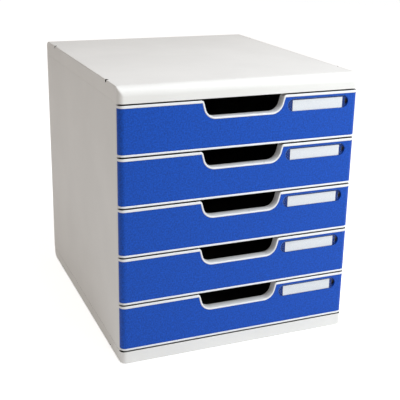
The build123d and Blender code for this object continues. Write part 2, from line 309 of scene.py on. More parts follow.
class Moulding:
    """A closed mesh that is built up by joining and cutting solids."""

    def __init__(self, mesh: Mesh) -> None:
        """Starts from one closed mesh."""
        self.mesh = mesh

    def _combine(self, other: Mesh, how: Carve) -> Moulding:
        """Combines the moulding with another closed mesh.

        Args:
            other: The mesh that is joined on or cut away.
            how: Whether it is joined on or cut away.

        Returns:
            The moulding itself, for chaining.
        """
        target = linked("target", self.mesh)
        tool = linked("tool", other)
        boolean = target.modifiers.new("combine", "BOOLEAN")
        boolean.operation = how.value
        boolean.solver = "EXACT"
        boolean.object = tool
        self.mesh = evaluated(target)
        bpy.data.objects.remove(tool)
        return self

    def join(self, other: Mesh) -> Moulding:
        """Joins a solid on."""
        return self._combine(other, Carve.JOIN)

    def cut(self, other: Mesh) -> Moulding:
        """Cuts a solid away."""
        return self._combine(other, Carve.CUT)

    def tidy(self) -> Moulding:
        """Merges doubled points and dissolves the seams that cutting leaves in flat faces.

        Returns:
            The moulding itself, for chaining.
        """
        with worked(self.mesh) as work:
            bmesh.ops.remove_doubles(work, verts=work.verts, dist=MERGE_DISTANCE)
            bmesh.ops.dissolve_limit(
                work, angle_limit=FLAT_ANGLE, verts=work.verts, edges=work.edges
            )
            bmesh.ops.recalc_face_normals(work, faces=work.faces)
        return self

    def soften(
        self, width: float, where: Callable[[Vector], bool], segments: int = 3
    ) -> Moulding:
        """Rounds the sharp outward edges in one region.

        Args:
            width: Width of the rounding in millimetres.
            where: Says whether a point in millimetres is in the region.
            segments: Faces across the rounding.

        Returns:
            The moulding itself, for chaining.
        """
        with worked(self.mesh) as work:
            layers = work.edges.layers.float
            weight = layers.get("bevel_weight_edge") or layers.new("bevel_weight_edge")
            for edge in work.edges:
                outward = len(edge.link_faces) == 2 and edge.calc_face_angle_signed() > EDGE_ANGLE
                near = all(where(vertex.co / MM) for vertex in edge.verts)
                edge[weight] = 1.0 if outward and near else 0.0
        target = linked("target", self.mesh)
        bevel = target.modifiers.new("soften", "BEVEL")
        bevel.limit_method = "WEIGHT"
        bevel.width = width * MM
        bevel.segments = segments
        bevel.use_clamp_overlap = False
        bevel.miter_outer = "MITER_ARC"
        self.mesh = evaluated(target)
        return self

    def _settle(self) -> None:
        """Takes out the slivers that cutting and rounding leave."""
        with worked(self.mesh) as work:
            bmesh.ops.remove_doubles(work, verts=work.verts, dist=SLIVER)
            bmesh.ops.dissolve_degenerate(work, dist=SLIVER, edges=work.edges)

    def raised(self, height: float) -> Moulding:
        """A copy of the moulding at another height.

        Args:
            height: How far it is moved up, in millimetres.

        Returns:
            The copy.
        """
        copy = self.mesh.copy()
        for vertex in copy.vertices:
            vertex.co.z += height * MM
        return Moulding(copy)

    def piece(
        self, name: str, body: str, slot: str, material: bpy.types.Material, *nodes: str
    ) -> None:
        """Makes the finished piece and ties it to the frame.

        Args:
            name: Name of the piece.
            body: The body it rides on.
            slot: The record's material slot; not used.
            material: Its finish.
            *nodes: The solids that it stands for.
        """
        self._settle()
        self.mesh.name = name
        self.mesh.materials.clear()
        self.mesh.materials.append(material)
        self.mesh.shade_smooth()
        self.mesh.set_sharp_from_angle(angle=SHARP_ANGLE)
        thing = linked(name, self.mesh)
        even = thing.modifiers.new("even shading", "WEIGHTED_NORMAL")
        even.keep_sharp = True
        even.mode = "FACE_AREA"
        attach(thing, body)
        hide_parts(*nodes)
        log.info("%s rides on %s, %d faces", name, body, len(self.mesh.polygons))


# Node trees


class NodeBuilder:
    """Adds nodes to a tree, with their values and links by name."""

    def __init__(self, tree: bpy.types.NodeTree) -> None:
        """Starts from a tree."""
        self.tree = tree

    def feed(self, target: Socket, value: object) -> None:
        """Links an input to a socket, or sets it to a plain value.

        Args:
            target: The input.
            value: The socket or the value that feeds it.
        """
        if isinstance(value, Socket):
            self.tree.links.new(value, target)
        else:
            target.default_value = value

    def node(self, kind: str, **values: object) -> bpy.types.Node:
        """Adds a node, sets its properties and feeds its inputs.

        Args:
            kind: Blender's name of the node type.
            **values: Property values, and values or sockets for inputs, with underscores for the
                blanks in an input's name.

        Returns:
            The node.
        """
        node = self.tree.nodes.new(kind)
        for key, value in values.items():
            if hasattr(node, key):
                setattr(node, key, value)
            else:
                self.feed(node.inputs[key.replace("_", " ")], value)
        return node

    def math(self, how: str, *values: Socket | float) -> Socket:
        """Works out one number from one or two others.

        Args:
            how: Blender's name of the operation.
            *values: Sockets or numbers that it takes.

        Returns:
            The result.
        """
        node = self.node("ShaderNodeMath", operation=how)
        for target, value in zip(node.inputs, values):
            self.feed(target, value)
        return node.outputs[0]


# Finishes


@dataclass(frozen=True)
class Noise:
    """A noise pattern, with its scale in cells per metre."""

    scale: float
    detail: float = 2.0
    roughness: float = 0.5


@dataclass(frozen=True)
class Relief:
    """How strongly a pattern stands out, from 0 to 1, and its depth in millimetres."""

    strength: float
    depth: float


class Paint(NodeBuilder):
    """A node material under construction, with one surface shader."""

    def __init__(self, name: str) -> None:
        """Starts an empty material with object coordinates at hand.

        Args:
            name: Name of the material.
        """
        self.material = bpy.data.materials.new(name)
        self.material.use_nodes = True
        super().__init__(self.material.node_tree)
        self.tree.nodes.clear()
        self.output = self.node("ShaderNodeOutputMaterial")
        self.coordinates = self.node("ShaderNodeTexCoord").outputs["Object"]

    def noise(self, pattern: Noise) -> Socket:
        """A noise pattern in the object's own space.

        Args:
            pattern: Its scale and how fine it is.

        Returns:
            The pattern, from 0 to 1.
        """
        texture = self.node(
            "ShaderNodeTexNoise",
            Vector=self.coordinates,
            Scale=pattern.scale,
            Detail=pattern.detail,
            Roughness=pattern.roughness,
        )
        return texture.outputs["Fac"]

    def cell_edges(self, scale: float) -> Socket:
        """Distance from the edges of a cell pattern.

        Args:
            scale: Cells per metre.

        Returns:
            The distance as a share of a cell.
        """
        texture = self.node(
            "ShaderNodeTexVoronoi",
            feature="DISTANCE_TO_EDGE",
            Vector=self.coordinates,
            Scale=scale,
        )
        return texture.outputs["Distance"]

    def axes(self) -> tuple[Socket, ...]:
        """The three coordinates of the object's own space, in metres."""
        return tuple(self.node("ShaderNodeSeparateXYZ", Vector=self.coordinates).outputs)

    def away(self, value: Socket, place: float) -> Socket:
        """Distance of a coordinate from a place that is given in millimetres."""
        return self.math("ABSOLUTE", self.math("SUBTRACT", value, place * MM))

    def remap(self, value: Socket, source: Point, target: Point = (0.0, 1.0)) -> Socket:
        """Maps a value from one range to another, held at its ends.

        Args:
            value: The value.
            source: Its range.
            target: The range that it is mapped to.

        Returns:
            The new value.
        """
        node = self.node(
            "ShaderNodeMapRange",
            Value=value,
            From_Min=source[0],
            From_Max=source[1],
            To_Min=target[0],
            To_Max=target[1],
        )
        return node.outputs["Result"]

    def behind(self, y: Socket, front: float, start: Point) -> Socket:
        """Value that rises from 0 to 1 with the depth under a face.

        Args:
            y: The coordinate along the depth.
            front: Place of the face in millimetres.
            start: Depths in millimetres where the rise starts and ends.

        Returns:
            The value.
        """
        return self.remap(y, tuple((front + depth) * MM for depth in start))

    def blend(self, amount: Socket, first: Colour | Socket, second: Colour) -> Socket:
        """Mixes two colours by a value.

        Args:
            amount: The value, 0 for the first colour and 1 for the second.
            first: The first colour, or a socket that gives it.
            second: The second colour.

        Returns:
            The mixed colour.
        """
        node = self.node("ShaderNodeMix", data_type="RGBA")
        start = first if isinstance(first, Socket) else (*first, 1.0)
        for index, value in zip(MIX_INPUTS, (amount, start, (*second, 1.0))):
            self.feed(node.inputs[index], value)
        return node.outputs[MIX_OUTPUT]

    def bump(self, height: Socket, relief: Relief, under: Socket | None = None) -> Socket:
        """Turns a height pattern into surface relief.

        Args:
            height: The pattern.
            relief: How much it stands out.
            under: Relief that this one lies on.

        Returns:
            The normal socket.
        """
        node = self.node(
            "ShaderNodeBump", Height=height, Strength=relief.strength, Distance=relief.depth * MM
        )
        if under is not None:
            self.feed(node.inputs["Normal"], under)
        return node.outputs["Normal"]

    def surface(self, **values: object) -> None:
        """Adds the surface shader and joins it to the output."""
        shader = self.node("ShaderNodeBsdfPrincipled", **values)
        self.feed(self.output.inputs["Surface"], shader.outputs["BSDF"])


def linear(red: int, green: int, blue: int) -> Colour:
    """A screen colour as the linear values that shaders take, by the sRGB curve.

    Args:
        red: Red, from 0 to 255.
        green: Green, from 0 to 255.
        blue: Blue, from 0 to 255.

    Returns:
        The linear colour.
    """

    def channel(value: int) -> float:
        """One channel as a linear value."""
        share = value / 255
        return share / 12.92 if share <= 0.04045 else ((share + 0.055) / 1.055) ** 2.4

    return channel(red), channel(green), channel(blue)


@dataclass(frozen=True)
class ShellFinish:
    """Grey-white moulded plastic with a fine eroded grain, with painted shade in the clip slots
    and the plinth gap.
    """

    unit: Unit
    name: str = "shell_plastic"
    light: Colour = linear(235, 234, 231)
    shade: Colour = linear(231, 230, 227)
    # Near-black painted shade for the walls of the clip slots and the gap above the plinth.
    painted_shade: Colour = linear(16, 14, 13)
    clouds: Noise = Noise(14.0, 4.0)
    grain: Noise = Noise(1500.0, 3.0, 0.6)
    waves: Noise = Noise(9.0, 1.0)
    grain_relief: Relief = Relief(0.35, 0.05)
    wave_relief: Relief = Relief(0.12, 0.2)
    roughness: Point = (0.44, 0.56)
    gloss: float = 0.35
    slot_middle: Point = (-3.75, 160.5)
    slot_spread: Point = (121.25, 159.5)
    slot_half: float = 2.35
    slot_skin: float = 0.12
    slot_depth: float = 4.6
    edge_start: Point = (0.6, 1.6)

    def _in_slots(self, paint: Paint) -> Socket:
        """Value that is 1 on the walls of the clip slots, where shade is painted, and 0 elsewhere.

        Args:
            paint: The material under construction.

        Returns:
            The value.
        """
        x, y, z = paint.axes()
        beside = paint.away(paint.away(y, self.slot_middle[0]), self.slot_spread[0])
        across = paint.math("SUBTRACT", self.unit.half * MM, paint.away(x, 0.0))
        from_middle = paint.away(z, self.slot_middle[1])
        below = paint.math("SUBTRACT", self.slot_spread[1] * MM, from_middle)
        inside = paint.math("LESS_THAN", beside, self.slot_half * MM)
        for inset in (across, below):
            for value in (
                paint.math("GREATER_THAN", inset, self.slot_skin * MM),
                paint.math("LESS_THAN", inset, self.slot_depth * MM),
            ):
                inside = paint.math("MULTIPLY", inside, value)
        return inside

    def _on_plinth(self, paint: Paint) -> Socket:
        """Value that rises to 1 on the plinth's upper edge, behind its front, where the gap's
        shade is painted.

        Args:
            paint: The material under construction.

        Returns:
            The value.
        """
        _, y, z = paint.axes()
        level = paint.math("LESS_THAN", paint.away(z, self.unit.plinth_top), LEVEL_BAND * MM)
        return paint.math("MULTIPLY", level, paint.behind(y, self.unit.front, self.edge_start))

    def material(self) -> bpy.types.Material:
        """Builds the material.

        Returns:
            The finished material.
        """
        paint = Paint(self.name)
        clouds = paint.remap(paint.noise(self.clouds), MIDDLE)
        plain = paint.blend(clouds, self.light, self.shade)
        # Mask of the painted shade: clip slot walls and the plinth's top inside the gap.
        painted_shade_mask = paint.math("MAXIMUM", self._in_slots(paint), self._on_plinth(paint))
        grain = paint.noise(self.grain)
        waviness = paint.bump(paint.noise(self.waves), self.wave_relief)
        paint.surface(
            Base_Color=paint.blend(painted_shade_mask, plain, self.painted_shade),
            Roughness=paint.remap(grain, MOST, self.roughness),
            Specular_IOR_Level=self.gloss,
            Normal=paint.bump(grain, self.grain_relief, waviness),
        )
        return paint.material


@dataclass(frozen=True)
class RimFinish:
    """White plastic with a soft gloss, with painted shade on the level faces that lie in the gaps.
    """

    unit: Unit
    name: str = "white_rim_plastic"
    light: Colour = linear(237, 238, 240)
    shade: Colour = linear(233, 234, 236)
    # Dark painted shade on the rims' level faces inside the gaps between the drawers.
    gap_shade: Colour = linear(46, 41, 39)
    clouds: Noise = Noise(20.0, 3.0)
    grain: Noise = Noise(2200.0)
    wear: Noise = Noise(60.0, 4.0)
    grain_relief: Relief = Relief(0.12, 0.03)
    roughness: Point = (0.26, 0.36)
    gap_shade_start: Point = (0.5, 1.6)

    def _in_gaps(self, paint: Paint) -> Socket:
        """Value that rises to 1 on the level faces between the drawers, behind their fronts, where
        the gaps' shade is painted.

        Args:
            paint: The material under construction.

        Returns:
            The value.
        """
        unit = self.unit
        _, y, z = paint.axes()
        middle = (unit.plinth_top + unit.front_gap / 2) * MM
        above = paint.math("SUBTRACT", z, middle)
        from_gap = paint.math("PINGPONG", above, unit.pitch / 2 * MM)
        level = paint.math("LESS_THAN", from_gap, (unit.front_gap / 2 + LEVEL_BAND) * MM)
        return paint.math("MULTIPLY", level, paint.behind(y, unit.front, self.gap_shade_start))

    def material(self) -> bpy.types.Material:
        """Builds the material.

        Returns:
            The finished material.
        """
        paint = Paint(self.name)
        clouds = paint.remap(paint.noise(self.clouds), MIDDLE)
        plain = paint.blend(clouds, self.light, self.shade)
        paint.surface(
            # Painted shade of the gaps between the drawers.
            Base_Color=paint.blend(self._in_gaps(paint), plain, self.gap_shade),
            Roughness=paint.remap(paint.noise(self.wear), MOST, self.roughness),
            Normal=paint.bump(paint.noise(self.grain), self.grain_relief),
        )
        return paint.material


@dataclass(frozen=True)
class FacingFinish:
    """Blue plastic with a moulded leather grain, with painted shade on the walls and floor of the
    label holder.
    """

    unit: Unit
    name: str = "blue_grained_plastic"
    light: Colour = linear(16, 84, 198)
    shade: Colour = linear(9, 63, 151)
    # Darker blue painted as the shade inside the label holder's recess.
    deep: Colour = linear(8, 48, 122)
    cells_per_metre: float = 820.0
    crease_width: float = 0.22
    pebbles: Noise = Noise(574.0, 3.0, 0.55)
    pebble_relief: Relief = Relief(0.6, 0.18)
    crease_relief: Relief = Relief(0.3, 0.06)
    roughness: Point = (0.38, 0.52)
    gloss: float = 0.2
    holder_middle: float = 92.0
    holder_half: float = 40.0
    holder_start: Point = (0.6, 1.0)

    def _in_holder(self, paint: Paint) -> Socket:
        """Value that rises to 1 on the walls and the floor of the label holder, where shade is
        painted.

        Args:
            paint: The material under construction.

        Returns:
            The value.
        """
        x, y, _ = paint.axes()
        beside = paint.away(x, self.holder_middle)
        within = paint.math("LESS_THAN", beside, self.holder_half * MM)
        return paint.math("MULTIPLY", within, paint.behind(y, self.unit.front, self.holder_start))

    def material(self) -> bpy.types.Material:
        """Builds the material.

        Returns:
            The finished material.
        """
        paint = Paint(self.name)
        creases = paint.remap(paint.cell_edges(self.cells_per_metre), (0.0, self.crease_width))
        pebbles = paint.noise(self.pebbles)
        speckle = paint.remap(pebbles, MOST, (1.0, 0.0))
        plain = paint.blend(speckle, self.light, self.shade)
        grain = paint.bump(pebbles, self.pebble_relief)
        paint.surface(
            # Painted shade inside the label holder.
            Base_Color=paint.blend(self._in_holder(paint), plain, self.deep),
            Roughness=paint.remap(pebbles, MOST, self.roughness),
            Specular_IOR_Level=self.gloss,
            Normal=paint.bump(creases, self.crease_relief, grain),
        )
        return paint.material


@dataclass(frozen=True)
class TrayFinish:
    """Graphite plastic of the drawer boxes."""

    name: str = "graphite_plastic"
    light: Colour = linear(82, 79, 78)
    shade: Colour = linear(72, 70, 69)
    clouds: Noise = Noise(16.0, 4.0)
    grain: Noise = Noise(1700.0, 3.0, 0.6)
    grain_relief: Relief = Relief(0.35, 0.05)
    roughness: Point = (0.42, 0.58)

    def material(self) -> bpy.types.Material:
        """Builds the material.

        Returns:
            The finished material.
        """
        paint = Paint(self.name)
        clouds = paint.remap(paint.noise(self.clouds), MOST)
        grain = paint.noise(self.grain)
        paint.surface(
            Base_Color=paint.blend(clouds, self.light, self.shade),
            Roughness=paint.remap(grain, MOST, self.roughness),
            Normal=paint.bump(grain, self.grain_relief),
        )
        return paint.material


@dataclass(frozen=True)
class CardFinish:
    """White index card with faint fibres."""

    name: str = "index_card"
    light: Colour = linear(240, 242, 244)
    shade: Colour = linear(233, 236, 239)
    fibres: Noise = Noise(900.0, 5.0, 0.7)
    fibre_relief: Relief = Relief(0.3, 0.03)
    roughness: float = 0.85
    gloss: float = 0.2

    def material(self) -> bpy.types.Material:
        """Builds the material.

        Returns:
            The finished material.
        """
        paint = Paint(self.name)
        fibres = paint.noise(self.fibres)
        paint.surface(
            Base_Color=paint.blend(paint.remap(fibres, MIDDLE), self.light, self.shade),
            Roughness=self.roughness,
            Specular_IOR_Level=self.gloss,
            Normal=paint.bump(fibres, self.fibre_relief),
        )
        return paint.material


@dataclass(frozen=True)
class WindowFinish:
    """Thin clear plastic with faint hairlines and a painted highlight on its rounded edge."""

    unit: Unit
    name: str = "clear_window_plastic"
    tint: Colour = linear(96, 110, 146)
    # Pale blue painted highlight, made more opaque on the edge's rounding.
    painted_highlight: Colour = linear(150, 200, 250)
    hairlines: Noise = Noise(420.0, 4.0, 0.6)
    hairline_relief: Relief = Relief(0.1, 0.02)
    roughness: Point = (0.06, 0.16)
    cover: Point = (0.04, 0.6)
    edge_start: Point = (0.51, 0.56)
    edge_end: Point = (0.74, 0.8)

    def _on_edge(self, paint: Paint) -> Socket:
        """Value that is 1 on the rounding of the window's edge, where a highlight is painted, and
        0 on its flat face.

        Args:
            paint: The material under construction.

        Returns:
            The value.
        """
        depth = paint.math("SUBTRACT", paint.axes()[1], self.unit.front * MM)
        rise = paint.remap(depth, tuple(level * MM for level in self.edge_start))
        fall = paint.remap(depth, tuple(level * MM for level in self.edge_end), (1.0, 0.0))
        return paint.math("MULTIPLY", rise, fall)

    def material(self) -> bpy.types.Material:
        """Builds the material.

        Returns:
            The finished material.
        """
        paint = Paint(self.name)
        hairlines = paint.noise(self.hairlines)
        edge = self._on_edge(paint)
        paint.surface(
            # Painted highlight on the edge's rounding, where the pane is also less clear.
            Base_Color=paint.blend(edge, self.tint, self.painted_highlight),
            Alpha=paint.remap(edge, (0.0, 1.0), self.cover),
            Roughness=paint.remap(hairlines, MOST, self.roughness),
            Normal=paint.bump(hairlines, self.hairline_relief),
        )
        return paint.material


@dataclass(frozen=True)
class PadFinish:
    """Dark rubber of the foot pads."""

    name: str = "pad_rubber"
    light: Colour = linear(58, 58, 58)
    shade: Colour = linear(44, 44, 45)
    specks: Noise = Noise(1100.0, 4.0, 0.65)
    speck_relief: Relief = Relief(0.5, 0.1)
    roughness: Point = (0.75, 0.92)
    gloss: float = 0.25

    def material(self) -> bpy.types.Material:
        """Builds the material.

        Returns:
            The finished material.
        """
        paint = Paint(self.name)
        specks = paint.noise(self.specks)
        paint.surface(
            Base_Color=paint.blend(paint.remap(specks, MOST), self.light, self.shade),
            Roughness=paint.remap(specks, MOST, self.roughness),
            Specular_IOR_Level=self.gloss,
            Normal=paint.bump(specks, self.speck_relief),
        )
        return paint.material


@dataclass(frozen=True)
class FloorFinish:
    """Pale floor that shows white to the camera and keeps the unit's shadow."""

    name: str = "pale_floor"
    grey: float = 0.86
    lift: float = 0.7

    def material(self) -> bpy.types.Material:
        """Builds the material.

        Returns:
            The finished material.
        """
        paint = Paint(self.name)
        path = paint.node("ShaderNodeLightPath").outputs
        seen = paint.math("MAXIMUM", path["Is Camera Ray"], path["Is Glossy Ray"])
        base = paint.node("ShaderNodeBsdfDiffuse", Color=(self.grey, self.grey, self.grey, 1.0))
        glow = paint.node("ShaderNodeEmission", Strength=paint.math("MULTIPLY", seen, self.lift))
        both = paint.node("ShaderNodeAddShader")
        paint.feed(both.inputs[0], base.outputs[0])
        paint.feed(both.inputs[1], glow.outputs[0])
        paint.feed(paint.output.inputs["Surface"], both.outputs[0])
        return paint.material


# Parts that repeat by a rule


class GrowTree(NodeBuilder):
    """A Geometry Nodes tree under construction, with named inputs for its sizes."""

    def __init__(self, name: str, sizes: dict[str, float], counts: dict[str, int]) -> None:
        """Starts a tree.

        Args:
            name: Name of the tree.
            sizes: Its lengths in millimetres, by name.
            counts: Its whole numbers, by name.
        """
        super().__init__(bpy.data.node_groups.new(name, "GeometryNodeTree"))
        self.values: dict[str, object] = {}
        self._socket("Geometry", "Geometry")
        for key, size in sizes.items():
            self.values[self._socket(key, "Float")] = size * MM
        for key, count in counts.items():
            self.values[self._socket(key, "Int")] = count
        self.finish_socket = self._socket("Finish", "Material")
        self._socket("Geometry", "Geometry", "OUTPUT")
        self.inputs = self.node("NodeGroupInput").outputs
        self.output = self.node("NodeGroupOutput")

    def _socket(self, name: str, kind: str, way: str = "INPUT") -> str:
        """Adds a socket to the tree's own interface.

        Args:
            name: Name of the socket.
            kind: What it carries.
            way: INPUT or OUTPUT.

        Returns:
            Its identifier.
        """
        interface = self.tree.interface
        socket = interface.new_socket(name, in_out=way, socket_type=f"NodeSocket{kind}")
        return socket.identifier

    def vector(self, **parts: Socket | float) -> Socket:
        """Makes a vector from sockets or numbers for X, Y and Z."""
        return self.node("ShaderNodeCombineXYZ", **parts).outputs[0]

    def bar(self, size: Socket, middle: Socket) -> Socket:
        """A box of one size about one point."""
        cube = self.node("GeometryNodeMeshCube", Size=size).outputs["Mesh"]
        return self.node("GeometryNodeTransform", Geometry=cube, Translation=middle).outputs[0]

    def row(self, count: Socket, start: Socket, step: Socket, shape: Socket) -> Socket:
        """Copies of a shape in a straight row.

        Args:
            count: How many.
            start: Place of the first.
            step: From each to the next.
            shape: The shape to copy.

        Returns:
            The row, as instances.
        """
        line = self.node("GeometryNodeMeshLine", Count=count, Start_Location=start, Offset=step)
        return self.copies(line.outputs[0], shape)

    def copies(self, points: Socket, shape: Socket) -> Socket:
        """A copy of a shape on each point, as instances."""
        placed = self.node("GeometryNodeInstanceOnPoints", Points=points, Instance=shape)
        return placed.outputs[0]

    def together(self, *shapes: Socket) -> Socket:
        """Several shapes as one geometry.

        Args:
            *shapes: The shapes.

        Returns:
            The geometry.
        """
        joined = self.node("GeometryNodeJoinGeometry")
        for shape in shapes:
            self.feed(joined.inputs[0], shape)
        return joined.outputs[0]

    def finish(self, *shapes: Socket, onto: bool) -> None:
        """Ends the tree with real geometry in one finish.

        Args:
            *shapes: What the tree has made.
            onto: Whether it is fused with the geometry that comes in.
        """
        instances = self.together(*shapes)
        result = self.node("GeometryNodeRealizeInstances", Geometry=instances).outputs[0]
        if onto:
            fused = self.node(
                "GeometryNodeMeshBoolean",
                operation="UNION",
                solver="EXACT",
                Self_Intersection=True,
            )
            self.feed(fused.inputs[1], self.inputs["Geometry"])
            self.feed(fused.inputs[1], result)
            result = fused.outputs[0]
        finish = self.inputs["Finish"]
        coloured = self.node("GeometryNodeSetMaterial", Geometry=result, Material=finish)
        self.feed(self.output.inputs[0], coloured.outputs[0])

    def grow(self, mesh: Mesh, material: bpy.types.Material) -> Mesh:
        """Runs the tree on a mesh.

        Args:
            mesh: The mesh that the tree works on.
            material: The finish that it sets.

        Returns:
            The result as a plain mesh.
        """
        maker = linked("maker", mesh)
        modifier = maker.modifiers.new("grow", "NODES")
        modifier.node_group = self.tree
        for identifier, value in self.values.items():
            modifier[identifier] = value
        modifier[self.finish_socket] = material
        return evaluated(maker)


# The unit's sizes and its casing


@dataclass(frozen=True)
class Unit:
    """Driving sizes of the whole unit, in millimetres."""

    width: float = 288.0
    depth: float = 339.0
    height: float = 320.0
    drawer_count: int = 5
    pitch: float = 56.95
    front_gap: float = 1.8
    plinth_top: float = 15.3
    wall: float = 2.5
    corner_radius: float = 7.0
    pad_proud: float = 1.0
    panel_setback: float = 1.3

    @property
    def front(self) -> float:
        """Place of the drawer faces."""
        return -self.depth / 2

    @property
    def rear(self) -> float:
        """Place of the rear of the cover."""
        return self.depth / 2

    @property
    def half(self) -> float:
        """Half the width."""
        return self.width / 2

    @property
    def inner_half(self) -> float:
        """Half the width inside the walls."""
        return self.half - self.wall

    @property
    def visor_bottom(self) -> float:
        """Height of the cover's lower edge."""
        return self.plinth_top + self.front_gap + self.drawer_count * self.pitch

    @property
    def front_height(self) -> float:
        """Height of one drawer front."""
        return self.pitch - self.front_gap

    @property
    def panel_rear(self) -> float:
        """Place of the rear edge of the side panels."""
        return self.rear - self.panel_setback

    def drawer_bottom(self, number: int) -> float:
        """Height of the lower edge of a drawer's front, counted from 1 at the top."""
        return self.plinth_top + self.front_gap + (self.drawer_count - number) * self.pitch


@dataclass
class Casing:
    """The fixed housing: cover, base, side panels, back panel and pads."""

    unit: Unit
    shell: bpy.types.Material
    rubber: bpy.types.Material
    edge_radius: float = 1.2
    edge_share: float = 0.45
    least_step: float = 0.02
    rear_corner: float = 3.0
    visor_radius: float = 11.0
    cover_rear_radius: float = 12.0
    base_rear_radius: float = 13.5
    rib_thickness: float = 1.6
    rib_height: float = 3.5
    rib_ends: Point = (-156.0, 150.0)
    rib_step: Point = (70.0, 90.0)
    rib_count: int = 3
    slot_size: Point3 = (4.2, 4.5, 6.0)
    slot_rounding: float = 1.0
    slots_y: Point = (-125.0, 117.5)
    seam: float = 0.2
    seam_reach: float = 0.1
    panel_gap: float = 0.3
    panel_front_radius: float = 0.8
    pad_size: float = 15.0
    pad_corner: float = 1.2
    pad_rounding: float = 0.35
    pad_x: float = 122.0
    pads_y: Point = (-148.0, 138.0)
    ledge_reach: float = 4.9
    ledge_thickness: float = 2.0
    ledge_start: float = 11.5
    ledge_end: float = 158.0
    ledge_level: float = 43.9
    keeper_end: float = -98.3
    keeper_level: float = 46.8
    tongue_thickness: float = 1.6
    tongue_insert: float = 6.2
    tongue_root: float = 5.0
    tongue_ends: Point = (-152.0, 158.0)
    groove_reach: float = 6.0
    groove_rib: float = 1.8
    back_front: float = 163.5
    back_rear: float = 165.7
    back_clearance: float = 0.6
    back_headroom: float = 8.1
    bead_width: float = 5.0
    bead_proud: float = 1.0
    bead_rounding: float = 0.8

    def _stations(self, rear: float, radii: tuple[float, float, float, float]) -> list[float]:
        """Places along Y where the rounded block needs a section.

        Args:
            rear: Place of its rear end.
            radii: Plan and side radii at the front, then at the rear.

        Returns:
            The places in order.
        """
        front = self.unit.front
        shares = [1 - math.cos(ARC_STEP * k) for k in range(1, QUARTER_STEPS + 1)]
        places = {front, rear}
        places |= {front + radius * share for radius in radii[:2] for share in shares}
        places |= {rear - radius * share for radius in radii[2:] for share in shares}
        ordered = sorted(places)
        kept = [ordered[0]]
        for place in ordered[1:]:
            if place - kept[-1] > self.least_step:
                kept.append(place)
        kept[-1] = rear
        return kept

    def _form(
        self,
        inset: float,
        rear: float,
        low: float,
        high: float,
        front_top: float,
        rear_top: float,
        upward: int,
        edge: float,
    ) -> Mesh:
        """The rounded block of the cover or the base, as sections drawn through along Y.

        Args:
            inset: Distance inside the outer surface.
            rear: Place of the outer rear end.
            low: Lowest level.
            high: Highest level.
            front_top: Radius over the front, on the rounded side.
            rear_top: Radius over the rear, on the rounded side.
            upward: 1 where the rounded side is the top, -1 where it is the bottom.
            edge: Radius of the long edges.

        Returns:
            The closed mesh.
        """
        unit = self.unit
        front = unit.front + inset
        back = rear - inset
        corner = unit.corner_radius - inset
        rear_corner = self.rear_corner - inset
        rings: list[list[Point3]] = []
        for station in self._stations(rear, (corner, front_top, rear_corner, rear_top)):
            y = min(max(station, front), back)
            if rings and abs(rings[-1][0][1] - y) < ON_PLANE:
                continue
            taper = self._sag(y - front, corner) + self._sag(back - y, rear_corner)
            half = unit.half - inset - taper
            drop = self._sag(y - front, front_top) + self._sag(back - y, rear_top)
            radius = min(edge, self.edge_share * (high - low - drop))
            if upward > 0:
                ring = rectangle((-half, low), (half, high - drop), (0, 0, radius, radius))
            else:
                ring = rectangle((-half, low + drop), (half, high), (radius, radius, 0, 0))
            rings.append([(x, y, z) for x, z in ring])
        return loft(rings)

    @staticmethod
    def _sag(distance: float, radius: float) -> float:
        """How far a rounded edge lies inside its corner at a distance from the end.

        Args:
            distance: Distance from the end.
            radius: Radius of the rounding.

        Returns:
            The distance inside the corner.
        """
        if radius <= 0 or distance >= radius:
            return 0.0
        return radius - math.sqrt(max(0.0, radius**2 - (radius - distance) ** 2))

    def _rib_tree(self, name: str, low: float, high: float) -> GrowTree:
        """The tree that fuses a grid of stiffening ribs with a shell.

        Args:
            name: Name of the tree.
            low: Lowest level of the ribs.
            high: Highest level of the ribs.

        Returns:
            The tree.
        """
        reach = self.unit.inner_half + self.unit.wall / 2
        sizes = {
            "Thickness": self.rib_thickness,
            "Height": high - low,
            "Middle level": (low + high) / 2,
            "Length along": self.rib_ends[1] - self.rib_ends[0],
            "Middle along": (self.rib_ends[0] + self.rib_ends[1]) / 2,
            "Length across": 2 * reach,
            "Step across": self.rib_step[0],
            "Step along": self.rib_step[1],
        }
        grow = GrowTree(name, sizes, {"Count": self.rib_count})
        read = grow.inputs
        first = -(self.rib_count - 1) / 2
        long_bar = grow.bar(
            grow.vector(X=read["Thickness"], Y=read["Length along"], Z=read["Height"]),
            grow.vector(Y=read["Middle along"], Z=read["Middle level"]),
        )
        cross_bar = grow.bar(
            grow.vector(X=read["Length across"], Y=read["Thickness"], Z=read["Height"]),
            grow.vector(Z=read["Middle level"]),
        )
        long_row = grow.row(
            read["Count"],
            grow.vector(X=grow.math("MULTIPLY", read["Step across"], first)),
            grow.vector(X=read["Step across"]),
            long_bar,
        )
        cross_row = grow.row(
            read["Count"],
            grow.vector(Y=grow.math("MULTIPLY", read["Step along"], first)),
            grow.vector(Y=read["Step along"]),
            cross_bar,
        )
        grow.finish(long_row, cross_row, onto=True)
        return grow

    def _slot_cutter(self, side: int, y: float, level: float, upward: int) -> Mesh:
        """Short cutter that runs slantwise through a long edge.

        Args:
            side: 1 on the right, -1 on the left.
            y: Its place along the edge.
            level: Height of the edge.
            upward: 1 for a top edge, -1 for a bottom edge.

        Returns:
            The closed cutter.
        """
        width, length, depth = self.slot_size
        out = Vector((side, 0, upward)).normalized()
        across = Vector((side, 0, -upward)).normalized()
        along = Vector((0, 1, 0))
        middle = Vector((side * self.unit.half, y, level))
        corner = (width / 2, length / 2)
        outline = rectangle((-corner[0], -corner[1]), corner, [self.slot_rounding] * 4)
        rings = [
            [tuple(middle + across * a + along * b + out * reach) for a, b in outline]
            for reach in (-depth, depth)
        ]
        return loft(rings)

